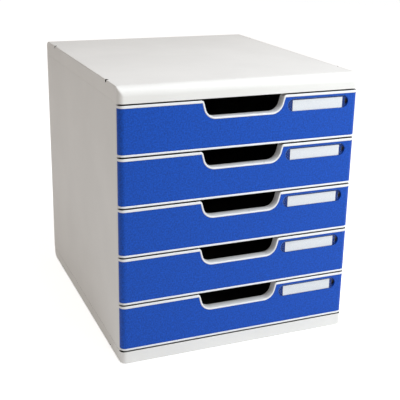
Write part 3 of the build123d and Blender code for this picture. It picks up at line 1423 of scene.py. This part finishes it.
    def _cut_slots(self, moulding: Moulding, level: float, upward: int) -> Moulding:
        """Cuts the four clip slots of one level.

        Args:
            moulding: The cover or the base.
            level: Height of its long edges.
            upward: 1 for top edges, -1 for bottom edges.

        Returns:
            The moulding, for chaining.
        """
        for side in (-1, 1):
            for y in self.slots_y:
                moulding.cut(self._slot_cutter(side, y, level, upward))
        return moulding

    def build_cover(self) -> None:
        """Cap with a rounded visor, side flanges and ribs under its flat top."""
        unit = self.unit
        low, high = unit.visor_bottom, unit.height
        radii = (self.visor_radius, self.cover_rear_radius)
        outer = self._form(0, unit.rear, low, high, *radii, 1, self.edge_radius)
        radii = tuple(radius - unit.wall for radius in radii)
        underside = high - unit.wall
        hollow = self._form(unit.wall, unit.rear, low - unit.wall, underside, *radii, 1, 0.0)
        cover = Moulding(outer).cut(hollow)
        ribs = self._rib_tree("cover ribs", underside - self.rib_height, underside + unit.wall / 2)
        cover.mesh = ribs.grow(cover.mesh, self.shell)
        self._cut_slots(cover, high, 1).tidy()
        cover.soften(self.seam, lambda p: p.z < low + ON_PLANE and self._on_outside(p))
        cover.piece("cover", "casing", "shell", self.shell, "top_cover")

    def build_base(self) -> None:
        """Shallow tray under the unit whose front is the plinth, with ribs on its floor."""
        unit = self.unit
        low, high = unit.pad_proud, unit.plinth_top
        rear, radius = unit.panel_rear, self.base_rear_radius
        outer = self._form(0, rear, low, high, 0.0, radius, -1, self.edge_radius)
        floor, top = low + unit.wall, high + unit.wall
        hollow = self._form(unit.wall, rear, floor, top, 0.0, radius - unit.wall, -1, 0.0)
        base = Moulding(outer).cut(hollow)
        ribs = self._rib_tree("base ribs", floor - unit.wall / 2, floor + self.rib_height)
        base.mesh = ribs.grow(base.mesh, self.shell)
        self._cut_slots(base, low, -1).tidy()
        base.soften(self.seam, lambda p: p.z > high - ON_PLANE and self._on_outside(p))
        base.piece("base", "casing", "shell", self.shell, "base_tray")

    def _on_outside(self, point: Vector) -> bool:
        """Whether a point lies on the outer plan outline.

        Args:
            point: The point in millimetres.

        Returns:
            True for a point on the outline.
        """
        unit = self.unit
        if abs(abs(point.x) - unit.half) < ON_FACE:
            return True
        centre = Vector((unit.half - unit.corner_radius, unit.front + unit.corner_radius))
        if abs(point.x) <= centre.x:
            return abs(point.y - unit.front) < ON_FACE or point.y > unit.panel_rear - ON_FACE
        if point.y > unit.panel_rear - self.rear_corner - ON_FACE:
            return True
        reach = (Vector((abs(point.x), point.y)) - centre).length
        return point.y < centre.y + ON_FACE and abs(reach - unit.corner_radius) < ON_ARC

    def _runner_tree(self, side: int) -> GrowTree:
        """The tree that fuses a ledge and a keeper for each drawer with a side wall.

        Args:
            side: 1 on the right, -1 on the left.

        Returns:
            The tree.
        """
        unit = self.unit
        near, far = unit.inner_half - self.ledge_reach, unit.inner_half + unit.wall / 2
        start = unit.front + self.ledge_start
        lowest = unit.drawer_bottom(unit.drawer_count)
        thick = self.ledge_thickness
        sizes = {
            "Reach": far - near,
            "Middle across": side * (near + far) / 2,
            "Thickness": thick,
            "Ledge length": self.ledge_end - start,
            "Ledge middle": (self.ledge_end + start) / 2,
            "Ledge level": self.ledge_level - thick / 2,
            "Keeper length": self.keeper_end - start,
            "Keeper middle": (self.keeper_end + start) / 2,
            "Keeper level": self.keeper_level + thick / 2,
            "Lowest drawer": lowest,
            "Pitch": unit.pitch,
        }
        grow = GrowTree("runner ledges", sizes, {"Count": unit.drawer_count})
        read = grow.inputs
        bars = []
        for kind in ("Ledge", "Keeper"):
            along, level = read[f"{kind} middle"], read[f"{kind} level"]
            size = grow.vector(X=read["Reach"], Y=read[f"{kind} length"], Z=read["Thickness"])
            bars.append(grow.bar(size, grow.vector(X=read["Middle across"], Y=along, Z=level)))
        start_place = grow.vector(Z=read["Lowest drawer"])
        step = grow.vector(Z=read["Pitch"])
        runners = grow.row(read["Count"], start_place, step, grow.together(*bars))
        grow.finish(runners, onto=True)
        return grow

    def build_side(self, name: str, node: str, side: int) -> None:
        """Flat side wall with runner ledges, keepers, tongues and grooves for the back.

        Args:
            name: Name of the piece.
            node: The solid that it stands for.
            side: 1 on the right, -1 on the left.
        """
        unit = self.unit
        low, high = unit.plinth_top, unit.visor_bottom
        front = unit.front + unit.corner_radius + self.panel_gap

        def across(first: float, second: float) -> Point:
            """A span on the wall's side of the unit, from its left to its right end."""
            ordered = sorted((side * first, side * second))
            return ordered[0], ordered[1]

        radii = [0.0, self.panel_front_radius, self.edge_radius, 0.0]
        if side < 0:
            radii = [radii[1], radii[0], radii[3], radii[2]]
        x = across(unit.inner_half, unit.half)
        plan = rectangle((x[0], front), (x[1], unit.panel_rear), radii)
        wall = Moulding(prism(plan, Axis.Z, low, high))
        wall.mesh = self._runner_tree(side).grow(wall.mesh, self.shell)
        tongue = across(unit.inner_half - self.tongue_thickness, unit.inner_half)
        root, insert = self.tongue_root, self.tongue_insert
        wall.join(block(tongue, self.tongue_ends, (high - root, high + insert)))
        wall.join(block(tongue, self.tongue_ends, (low - insert, low + root)))
        rib = across(unit.inner_half - self.groove_reach, unit.inner_half + unit.wall / 2)
        wall.join(block(rib, (self.back_rear, unit.panel_rear), (low, high)))
        wall.join(block(rib, (self.back_front - self.groove_rib, self.back_front), (low, high)))
        wall.tidy()

        def at_seam(point: Vector) -> bool:
            """Whether a point lies on an outer edge that meets the cover or the base."""
            level = min(abs(point.z - low), abs(point.z - high)) < ON_PLANE
            return level and abs(point.x) > unit.inner_half + self.seam_reach

        wall.soften(self.seam, at_seam)
        wall.piece(name, "casing", "shell", self.shell, node)

    def build_back(self) -> None:
        """Thin rear wall with a raised bead behind each drawer."""
        unit = self.unit
        half = unit.inner_half - self.back_clearance
        low = unit.pad_proud + self.base_rear_radius + self.back_clearance
        high = unit.height - self.back_headroom
        bead_half = half - self.groove_reach - self.bead_width
        sizes = {
            "Length": 2 * bead_half,
            "Width": self.bead_width,
            "Thickness": 2 * self.bead_proud,
            "Rear face": self.back_rear,
            "Lowest": unit.drawer_bottom(unit.drawer_count) + unit.front_height / 2,
            "Pitch": unit.pitch,
        }
        grow = GrowTree("back beads", sizes, {"Count": unit.drawer_count})
        read = grow.inputs
        bead = grow.bar(
            grow.vector(X=read["Length"], Y=read["Thickness"], Z=read["Width"]),
            grow.vector(Y=read["Rear face"]),
        )
        start, step = grow.vector(Z=read["Lowest"]), grow.vector(Z=read["Pitch"])
        grow.finish(grow.row(read["Count"], start, step, bead), onto=True)
        panel = Moulding(block((-half, half), (self.back_front, self.back_rear), (low, high)))
        panel.mesh = grow.grow(panel.mesh, self.shell)
        proud = self.back_rear + self.bead_proud / 2
        panel.tidy().soften(self.bead_rounding, lambda p: p.y > proud, 4)
        panel.piece("back_wall", "casing", "shell", self.shell, "back_panel")

    def build_pads(self) -> None:
        """Four square rubber pads with rounded edges."""
        unit = self.unit
        half = self.pad_size / 2
        plan = rectangle((-half, -half), (half, half), [self.pad_corner] * 4)
        pad = Moulding(prism(plan, Axis.Z, 0.0, unit.pad_proud))
        pad.soften(self.pad_rounding, lambda p: p.z < ON_PLANE)
        sizes = {
            "Spread across": 2 * self.pad_x,
            "Spread along": self.pads_y[1] - self.pads_y[0],
            "Middle along": (self.pads_y[0] + self.pads_y[1]) / 2,
        }
        grow = GrowTree("foot pads", sizes, {"Rows": 2})
        read = grow.inputs
        grid = grow.node(
            "GeometryNodeMeshGrid",
            Size_X=read["Spread across"],
            Size_Y=read["Spread along"],
            Vertices_X=read["Rows"],
            Vertices_Y=read["Rows"],
        )
        moved = grow.node(
            "GeometryNodeTransform",
            Geometry=grid.outputs["Mesh"],
            Translation=grow.vector(Y=read["Middle along"]),
        )
        grow.finish(grow.copies(moved.outputs[0], read["Geometry"]), onto=False)
        pads = Moulding(grow.grow(pad.mesh, self.rubber))
        places = ("front_left", "front_right", "rear_left", "rear_right")
        nodes = [f"foot_pad_{place}" for place in places]
        pads.piece("pads", "casing", "pad", self.rubber, *nodes)

    def build_all(self) -> None:
        """Builds the whole casing."""
        self.build_cover()
        self.build_base()
        self.build_side("right_wall", "side_panel_right", 1)
        self.build_side("left_wall", "side_panel_left", -1)
        self.build_back()
        self.build_pads()


# The drawers


@dataclass
class DrawerFront:
    """White frame with rims, blue facing, card and clear window, made once for all drawers."""

    unit: Unit
    rim_top: float = 3.0
    rim_bottom: float = 2.3
    rim_depth: float = 10.5
    rim_rounding: float = 0.7
    skin_rounding: float = 0.3
    setback: float = 0.3
    facing_thickness: float = 2.0
    clearance: float = 0.15
    skin_thickness: float = 1.8
    side_clearance: float = 1.6
    cutout_base: float = 45.1
    cutout_drop: float = 21.2
    cutout_slope: float = math.radians(15.0)
    cutout_radius: float = 15.0
    cutout_rim: float = 2.0
    cutout_past: float = 10.0
    lip_radius: float = 3.5
    holder_x: float = 92.0
    holder_drop: float = 12.5
    holder_size: Point = (78.0, 14.6)
    holder_depth: float = 1.4
    card_size: Point = (64.1, 12.4)
    card_thickness: float = 0.3
    air_gap: float = 0.03
    card_place: Point = (91.8, 13.3)
    card_corner: float = 0.4
    window_thickness: float = 0.9
    window_rounding: float = 0.3
    window_end: float = 126.9
    notch_x: float = 127.3
    notch_radius: float = 3.5
    notch_margin: float = 1.2
    notch_steps: int = 20
    tongues_x: Point = (-95.0, 95.0)
    tongue_width: float = 13.0
    tongue_height: float = 3.0
    tongue_level: float = 14.0
    tongue_barb: float = 1.3
    tongue_root: float = 0.5
    box_wall: float = 2.0

    @property
    def side_end(self) -> float:
        """Where the front ends at both sides."""
        return self.unit.front + self.unit.corner_radius

    @property
    def skin_front(self) -> float:
        """Depth of the skin's face under the front's face."""
        return self.setback + self.facing_thickness

    @property
    def skin_back(self) -> float:
        """Depth of the skin's back under the front's face."""
        return self.skin_front + self.skin_thickness

    def _cutout(self, inset: float, lips: bool) -> Mesh:
        """Cutter in the shape of the finger cut-out.

        Args:
            inset: How far its edge lies inside the blue facing's edge.
            lips: Whether it also rounds the corners at the top edge.

        Returns:
            The closed cutter, from before the face to behind the rims.
        """
        unit = self.unit
        slope = self.cutout_slope
        top = unit.front_height
        low = top - self.cutout_drop + inset
        base = self.cutout_base + inset * math.tan(slope) - inset / math.cos(slope)
        wide = base + (top - low) * math.tan(slope)
        radius = self.cutout_radius - inset
        past = self.cutout_past
        corners = [(-base, low), (base, low)]
        radii = [radius, radius]
        if lips:
            corners += [(wide, top), (wide + past, top), (wide + past, top + past)]
            corners += [(-wide - past, top + past), (-wide - past, top), (-wide, top)]
            radii += [self.lip_radius, 0, 0, 0, 0, self.lip_radius]
        else:
            far = wide + past * math.tan(slope)
            corners += [(far, top + past), (-far, top + past)]
            radii += [0, 0]
        rear = unit.front + self.rim_depth + PAST
        return prism(rounded(corners, radii), Axis.Y, unit.front - PAST, rear)

    def _wrap(self, outside: float, inside: float, low: float, high: float) -> Mesh:
        """A skin that wraps the face and both rounded corners.

        Args:
            outside: Depth of its face under the front's face, negative for before it.
            inside: Depth of its back.
            low: Lower edge.
            high: Upper edge.

        Returns:
            The closed mesh.
        """
        unit = self.unit
        corner = unit.corner_radius
        end = self.side_end + (PAST if outside < 0 else 0.0)
        outer, inner = unit.half - outside, unit.half - inside
        face, back = unit.front + outside, unit.front + inside
        corners = [(-outer, face), (outer, face), (outer, end), (inner, end)]
        corners += [(inner, back), (-inner, back), (-inner, end), (-outer, end)]
        outer_radius = 0.0 if outside < 0 else corner - outside
        radii = [outer_radius, outer_radius, 0, 0, corner - inside, corner - inside, 0, 0]
        return prism(rounded(corners, radii), Axis.Z, low, high)

    def _notch(self) -> Mesh:
        """Cutter of the half-round release notch beside the window.

        Returns:
            The closed cutter.
        """
        unit = self.unit
        level = unit.front_height - self.holder_drop
        radius, steps = self.notch_radius, self.notch_steps
        angles = [math.pi * (k / steps - 0.5) for k in range(steps + 1)]
        outline = [
            (self.notch_x + radius * math.cos(a), level + radius * math.sin(a)) for a in angles
        ]
        return prism(outline, Axis.Y, unit.front, unit.front + self.skin_back)

    def _notch_clearance(self) -> Mesh:
        """Cutter of the rectangular hole in the white skin behind the release notch.

        Returns:
            The closed cutter.
        """
        unit = self.unit
        level = unit.front_height - self.holder_drop
        reach = self.notch_radius + self.notch_margin
        across = (self.notch_x - self.notch_margin, self.notch_x + reach)
        depth = (unit.front, unit.front + self.skin_back + PAST)
        return block(across, depth, (level - reach, level + reach))

    def _on_face(self, depth: float) -> Callable[[Vector], bool]:
        """A test for points on the wrapped surface at a depth under the face.

        Args:
            depth: The depth in millimetres.

        Returns:
            The test.
        """
        unit = self.unit

        def test(point: Vector) -> bool:
            """Whether a point lies on that surface.

            Args:
                point: The point in millimetres.

            Returns:
                True for a point on the surface.
            """
            beside = unit.half - unit.corner_radius
            if abs(point.x) <= beside:
                return abs(point.y - unit.front - depth) < ON_FACE
            reach = math.hypot(abs(point.x) - beside, point.y - self.side_end)
            before = point.y < self.side_end + ON_PLANE
            return before and abs(reach - unit.corner_radius + depth) < ON_ARC

        return test

    def make_frame(self) -> Moulding:
        """White moulding: two rims joined by a skin, with a flanged cut-out and snap tongues.

        Returns:
            The moulding, with the drawer front's lower edge at level 0.
        """
        unit = self.unit
        half, front, top = unit.half, unit.front, unit.front_height
        corner = unit.corner_radius
        square_half = unit.inner_half - self.side_clearance
        rim_back = front + self.rim_depth
        corners = [(-half, front), (half, front)]
        corners += [(half, self.side_end), (square_half, self.side_end)]
        corners += [(square_half, rim_back), (-square_half, rim_back)]
        corners += [(-square_half, self.side_end), (-half, self.side_end)]
        plan = rounded(corners, [corner, corner, 0, 0, 0, 0, 0, 0])
        between = (self.rim_bottom, top - self.rim_top)
        surround = self._cutout(0.0, False)
        seat = Moulding(self._wrap(-PAST, self.skin_front, *between)).cut(surround.copy())
        deep = half - self.skin_back
        inner = corner - self.skin_back
        low, high = (-deep, front + self.skin_back), (deep, rim_back + PAST)
        space_plan = rectangle(low, high, (inner, inner, 0, 0))
        space = Moulding(prism(space_plan, Axis.Z, *between)).cut(surround)
        made = Moulding(prism(plan, Axis.Z, 0.0, top))
        made.cut(self._cutout(self.cutout_rim, True)).cut(seat.mesh).cut(space.mesh)
        made.cut(self._notch_clearance())
        for x in self.tongues_x:
            made.join(self._tongue(x))
        return made.tidy().soften(self.rim_rounding, self._on_face(0.0), 4)

    def _tongue(self, x: float) -> Mesh:
        """Snap tongue with its barb, as one outline drawn across the width.

        Args:
            x: Place of its middle across the width.

        Returns:
            The closed mesh.
        """
        skin_rear = self.unit.front + self.skin_back
        start, wall_back = skin_rear - self.tongue_root, skin_rear + self.box_wall
        level, barb = self.tongue_level, self.tongue_barb
        outline = [
            (start, level),
            (wall_back, level),
            (wall_back, level - barb),
            (wall_back + 2 * barb, level),
            (wall_back + 2 * barb, level + self.tongue_height),
            (start, level + self.tongue_height),
        ]
        return prism(outline, Axis.X, x - self.tongue_width / 2, x + self.tongue_width / 2)

    def make_facing(self) -> Moulding:
        """Blue skin wrapped round both corners, with the label holder sunk in it.

        Returns:
            The moulding, with the drawer front's lower edge at level 0.
        """
        unit = self.unit
        low = self.rim_bottom + self.clearance
        high = unit.front_height - self.rim_top - self.clearance
        made = Moulding(self._wrap(self.setback, self.skin_front, low, high))
        made.cut(self._cutout(-self.clearance, False))
        centre = (self.holder_x, unit.front_height - self.holder_drop)
        floor = unit.front + self.setback + self.holder_depth
        made.cut(prism(stadium(centre, *self.holder_size), Axis.Y, unit.front - PAST, floor))
        made.cut(self._notch())
        return made.tidy().soften(self.skin_rounding, self._on_face(self.setback))

    def make_card(self) -> Moulding:
        """White card on the floor of the label holder.

        Returns:
            The moulding, with the drawer front's lower edge at level 0.
        """
        unit = self.unit
        back = unit.front + self.setback + self.holder_depth
        x, level = self.card_place[0], unit.front_height - self.card_place[1]
        length, height = self.card_size
        low, high = (x - length / 2, level - height / 2), (x + length / 2, level + height / 2)
        face = back - self.card_thickness + self.air_gap
        outline = rectangle(low, high, [self.card_corner] * 4)
        return Moulding(prism(outline, Axis.Y, face, back))

    def make_window(self) -> Moulding:
        """Clear cover of the card, round at one end and square at the other.

        Returns:
            The moulding, with the drawer front's lower edge at level 0.
        """
        unit = self.unit
        back = unit.front + self.setback + self.holder_depth - self.card_thickness
        length, height = (v - 2 * self.clearance for v in self.holder_size)
        left, level = self.holder_x - length / 2, unit.front_height - self.holder_drop
        radius = height / 2 - END_FLAT
        low, high = (left, level - height / 2), (self.window_end, level + height / 2)
        outline = rectangle(low, high, (radius, 0, 0, radius))
        face = back - self.window_thickness
        made = Moulding(prism(outline, Axis.Y, face, back))
        return made.soften(self.window_rounding, lambda p: p.y < face + ON_PLANE)


@dataclass
class DrawerBox:
    """Graphite box behind each front, made once for all drawers."""

    unit: Unit
    front_depth: float = 4.1
    floor_level: float = 2.3
    rim_level: float = 46.0
    wall: float = 2.0
    half_top: float = 135.6
    half_bottom: float = 133.6
    end: float = 160.0
    corner: float = 6.0
    outer_front_corner: float = 0.8
    least_corner: float = 0.1
    front_corner: float = 3.0
    floor_corner: float = 1.0
    bend_steps: int = 5
    foot_rounding: float = 1.2
    floor_rounding: float = 3.0
    rim_rounding: float = 0.7
    lip_thickness: float = 2.0
    lip_reach: float = 140.7
    lip_root: float = 1.0
    lip_ends: Point = (7.6, 158.5)
    stop_near: float = 137.0
    stop_ends: Point = (152.0, 156.0)
    stop_rise: float = 2.6
    stop_root: float = 0.5
    scoop_half: float = 56.0
    scoop_level: float = 33.0
    slots_x: Point = (-95.0, 95.0)
    slot_half: float = 6.8
    slot_levels: Point = (13.7, 17.3)

    def _half_at(self, level: float) -> float:
        """Half width of the drafted box at a level."""
        share = (level - self.floor_level) / (self.rim_level - self.floor_level)
        return self.half_bottom + (self.half_top - self.half_bottom) * share

    def _ring(self, level: float, inset: float, radii: Point) -> list[Point3]:
        """Level ring of the box.

        Args:
            level: Its height.
            inset: How far it lies inside the outer surface.
            radii: Corner radii at the front and at the rear.

        Returns:
            The ring's points.
        """
        half = self._half_at(level) - inset
        front = self.unit.front + self.front_depth + inset
        rear = self.end - inset
        outline = rectangle((-half, front), (half, rear), (radii[0], radii[0], radii[1], radii[1]))
        return [(x, y, level) for x, y in outline]

    def _bend(self, corner: Point, reach: Point, from_level: bool) -> list[Point]:
        """Quarter turn of the wall's profile.

        Args:
            corner: Inset and level of the corner that it rounds.
            reach: How far it reaches from that corner, inward and upward.
            from_level: Whether it starts on the level face, not on the upright one.

        Returns:
            Its insets and levels in order.
        """
        points = []
        for step in range(self.bend_steps + 1):
            angle = math.pi / 2 * step / self.bend_steps
            shares = (1 - math.sin(angle), 1 - math.cos(angle))
            across, up = shares if from_level else reversed(shares)
            points.append((corner[0] + reach[0] * across, corner[1] + reach[1] * up))
        return points

    def _shell(self) -> Mesh:
        """The box without its lips, drawn from the foot over the rim down to the floor.

        Returns:
            The closed mesh.
        """
        foot, rim, bend = self.foot_rounding, self.rim_rounding, self.floor_rounding
        floor = self.floor_level + self.wall
        outside = self._bend((0.0, self.floor_level), (foot, foot), True)
        outside += self._bend((0.0, self.rim_level), (rim, -rim), False)
        inside = self._bend((self.wall, self.rim_level), (-rim, -rim), True)
        inside += self._bend((self.wall, floor), (bend, bend), False)
        rings = []
        for inset, level in outside:
            front_corner = max(self.outer_front_corner - inset, self.least_corner)
            rings.append(self._ring(level, inset, (front_corner, self.corner - inset)))
        for inset, level in inside:
            rear_corner = max(self.corner - inset, self.floor_corner)
            rings.append(self._ring(level, inset, (self.front_corner, rear_corner)))
        return loft(rings)

    def make(self) -> Moulding:
        """The box with sliding lips, stop tabs, a scooped front wall and slots for the tongues.

        Returns:
            The moulding, with the drawer front's lower edge at level 0.
        """
        unit = self.unit
        front = unit.front + self.front_depth
        made = Moulding(self._shell())
        for side in (-1, 1):
            lip_x = sorted((side * (self.half_top - self.lip_root), side * self.lip_reach))
            levels = (self.rim_level - self.lip_thickness, self.rim_level)
            made.join(block(lip_x, (unit.front + self.lip_ends[0], self.lip_ends[1]), levels))
            tab_x = sorted((side * self.stop_near, side * self.lip_reach))
            tab_levels = (levels[0] + self.stop_root, levels[1] + self.stop_rise)
            made.join(block(tab_x, self.stop_ends, tab_levels))
        corners = ((-self.scoop_half, self.scoop_level), (self.scoop_half, unit.front_height))
        scoop = rectangle(*corners, (self.corner, self.corner, 0, 0))
        made.cut(prism(scoop, Axis.Y, front - PAST, front + self.corner))
        through = (front - PAST, front + self.wall + PAST)
        for x in self.slots_x:
            across = (x - self.slot_half, x + self.slot_half)
            made.cut(block(across, through, self.slot_levels))
        return made.tidy()


@dataclass
class Drawers:
    """The five drawers, each a copy of one front and one box at its own height."""

    unit: Unit
    front: DrawerFront
    box: DrawerBox

    def build_all(self) -> None:
        """Builds every drawer."""
        rims, blue = RimFinish(self.unit).material(), FacingFinish(self.unit).material()
        graphite, paper = TrayFinish().material(), CardFinish().material()
        clear = WindowFinish(self.unit).material()
        made = (
            ("rims", "frame", rims, self.front.make_frame()),
            ("blue_facing", "facing", blue, self.front.make_facing()),
            ("card", "label", paper, self.front.make_card()),
            ("clear_window", "window", clear, self.front.make_window()),
            ("box", "tray", graphite, self.box.make()),
        )
        for number in range(1, self.unit.drawer_count + 1):
            level = self.unit.drawer_bottom(number)
            body = f"drawer_{number}"
            for name, kind, material, moulding in made:
                copy = moulding.raised(level)
                copy.piece(f"{body}_{name}", body, kind, material, f"{body}_{kind}")


# The studio


@dataclass(frozen=True)
class Lamp:
    """A square soft lamp: place and side in metres, power in watts, and colour."""

    name: str
    place: Point3
    side: float
    power: float
    tint: Colour


@dataclass
class Studio:
    """Floor, lamps, background and camera."""

    unit: Unit
    eye_target: Point3 = (18.7, 0.0, 152.5)
    azimuth: float = -22.52
    elevation: float = 17.82
    roll: float = 1.06
    distance: float = 1097.0
    focal_pixels: float = 824.0
    frame_pixels: float = 400.0
    centre_row: float = 180.0
    sensor: float = 36.0
    clip: Point = (0.05, 50.0)
    floor_radius: float = 4000.0
    floor_thickness: float = 20.0
    floor_sides: int = 96
    fill: Colour = (1.0, 0.92, 0.85)
    fill_strength: float = 0.425
    lamps: tuple[Lamp, ...] = (
        Lamp("upper lamp", (0.3, -0.54, 1.27), 0.6, 9.9, (0.88, 0.93, 1.0)),
        Lamp("side lamp", (0.65, -0.78, 0.5), 0.5, 3.6, (0.92, 1.0, 1.0)),
    )

    def build_all(self) -> None:
        """Builds the whole studio and shows colours as they are written."""
        bpy.context.scene.view_settings.view_transform = "Standard"
        self.build_floor()
        self.build_world()
        self.build_camera()
        for lamp in self.lamps:
            self.build_lamp(lamp)

    def build_floor(self) -> None:
        """A large pale disc that the unit stands on."""
        radius = self.floor_radius
        turns = [math.tau * k / self.floor_sides for k in range(self.floor_sides)]
        outline = [(radius * math.cos(turn), radius * math.sin(turn)) for turn in turns]
        floor = linked("floor", prism(outline, Axis.Z, -self.floor_thickness, 0.0))
        floor.data.materials.append(FloorFinish().material())

    def build_lamp(self, lamp: Lamp) -> None:
        """A soft lamp that looks at the middle of the unit.

        Args:
            lamp: What is hung up.
        """
        light = bpy.data.lights.new(lamp.name, "AREA")
        light.size = lamp.side
        light.energy = lamp.power
        light.color = lamp.tint
        thing = bpy.data.objects.new(lamp.name, light)
        bpy.context.scene.collection.objects.link(thing)
        thing.location = lamp.place
        aim = Vector((0, 0, self.unit.height / 2 * MM)) - thing.location
        thing.rotation_mode = "QUATERNION"
        thing.rotation_quaternion = aim.to_track_quat("-Z", "Y")

    def build_world(self) -> None:
        """White behind the unit, and a plain pale fill on it."""
        world = bpy.data.worlds.new("studio")
        bpy.context.scene.world = world
        world.use_nodes = True
        builder = NodeBuilder(world.node_tree)
        builder.tree.nodes.clear()
        seen = builder.node("ShaderNodeLightPath").outputs["Is Camera Ray"]
        fill = builder.node(
            "ShaderNodeBackground", Color=(*self.fill, 1.0), Strength=self.fill_strength
        )
        white = builder.node("ShaderNodeBackground", Color=(1.0, 1.0, 1.0, 1.0), Strength=1.0)
        mix = builder.node("ShaderNodeMixShader")
        for target, source in zip(mix.inputs, (seen, fill.outputs[0], white.outputs[0])):
            builder.feed(target, source)
        output = builder.node("ShaderNodeOutputWorld")
        builder.feed(output.inputs["Surface"], mix.outputs[0])

    def build_camera(self) -> None:
        """The camera at the photograph's viewing angle."""
        angles = (self.azimuth, self.elevation, self.roll)
        azimuth, elevation, roll = (math.radians(angle) for angle in angles)
        level = Vector((math.cos(azimuth), math.sin(azimuth), 0.0))
        ahead = Vector((math.sin(azimuth), -math.cos(azimuth), 0.0)) * math.cos(elevation)
        back = ahead + Vector((0.0, 0.0, math.sin(elevation)))
        upright = back.cross(level)
        right = level * math.cos(roll) + upright * math.sin(roll)
        up = upright * math.cos(roll) - level * math.sin(roll)
        data = bpy.data.cameras.new("camera")
        data.sensor_width = self.sensor
        data.lens = self.focal_pixels * self.sensor / self.frame_pixels
        data.shift_y = (self.centre_row - self.frame_pixels / 2) / self.frame_pixels
        data.clip_start, data.clip_end = self.clip
        camera = bpy.data.objects.new("camera", data)
        bpy.context.scene.collection.objects.link(camera)
        camera.location = (Vector(self.eye_target) + back * self.distance) * MM
        camera.rotation_mode = "QUATERNION"
        camera.rotation_quaternion = Matrix((right, up, back)).transposed().to_quaternion()
        bpy.context.scene.camera = camera


def main() -> None:
    """Builds the unit and the studio in order."""
    logging.basicConfig(level=logging.INFO, format="%(name)s: %(message)s")
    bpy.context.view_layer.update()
    unit = Unit()
    Casing(unit, ShellFinish(unit).material(), PadFinish().material()).build_all()
    Drawers(unit, DrawerFront(unit), DrawerBox(unit)).build_all()
    Studio(unit).build_all()


if __name__ == "__main__":
    main()
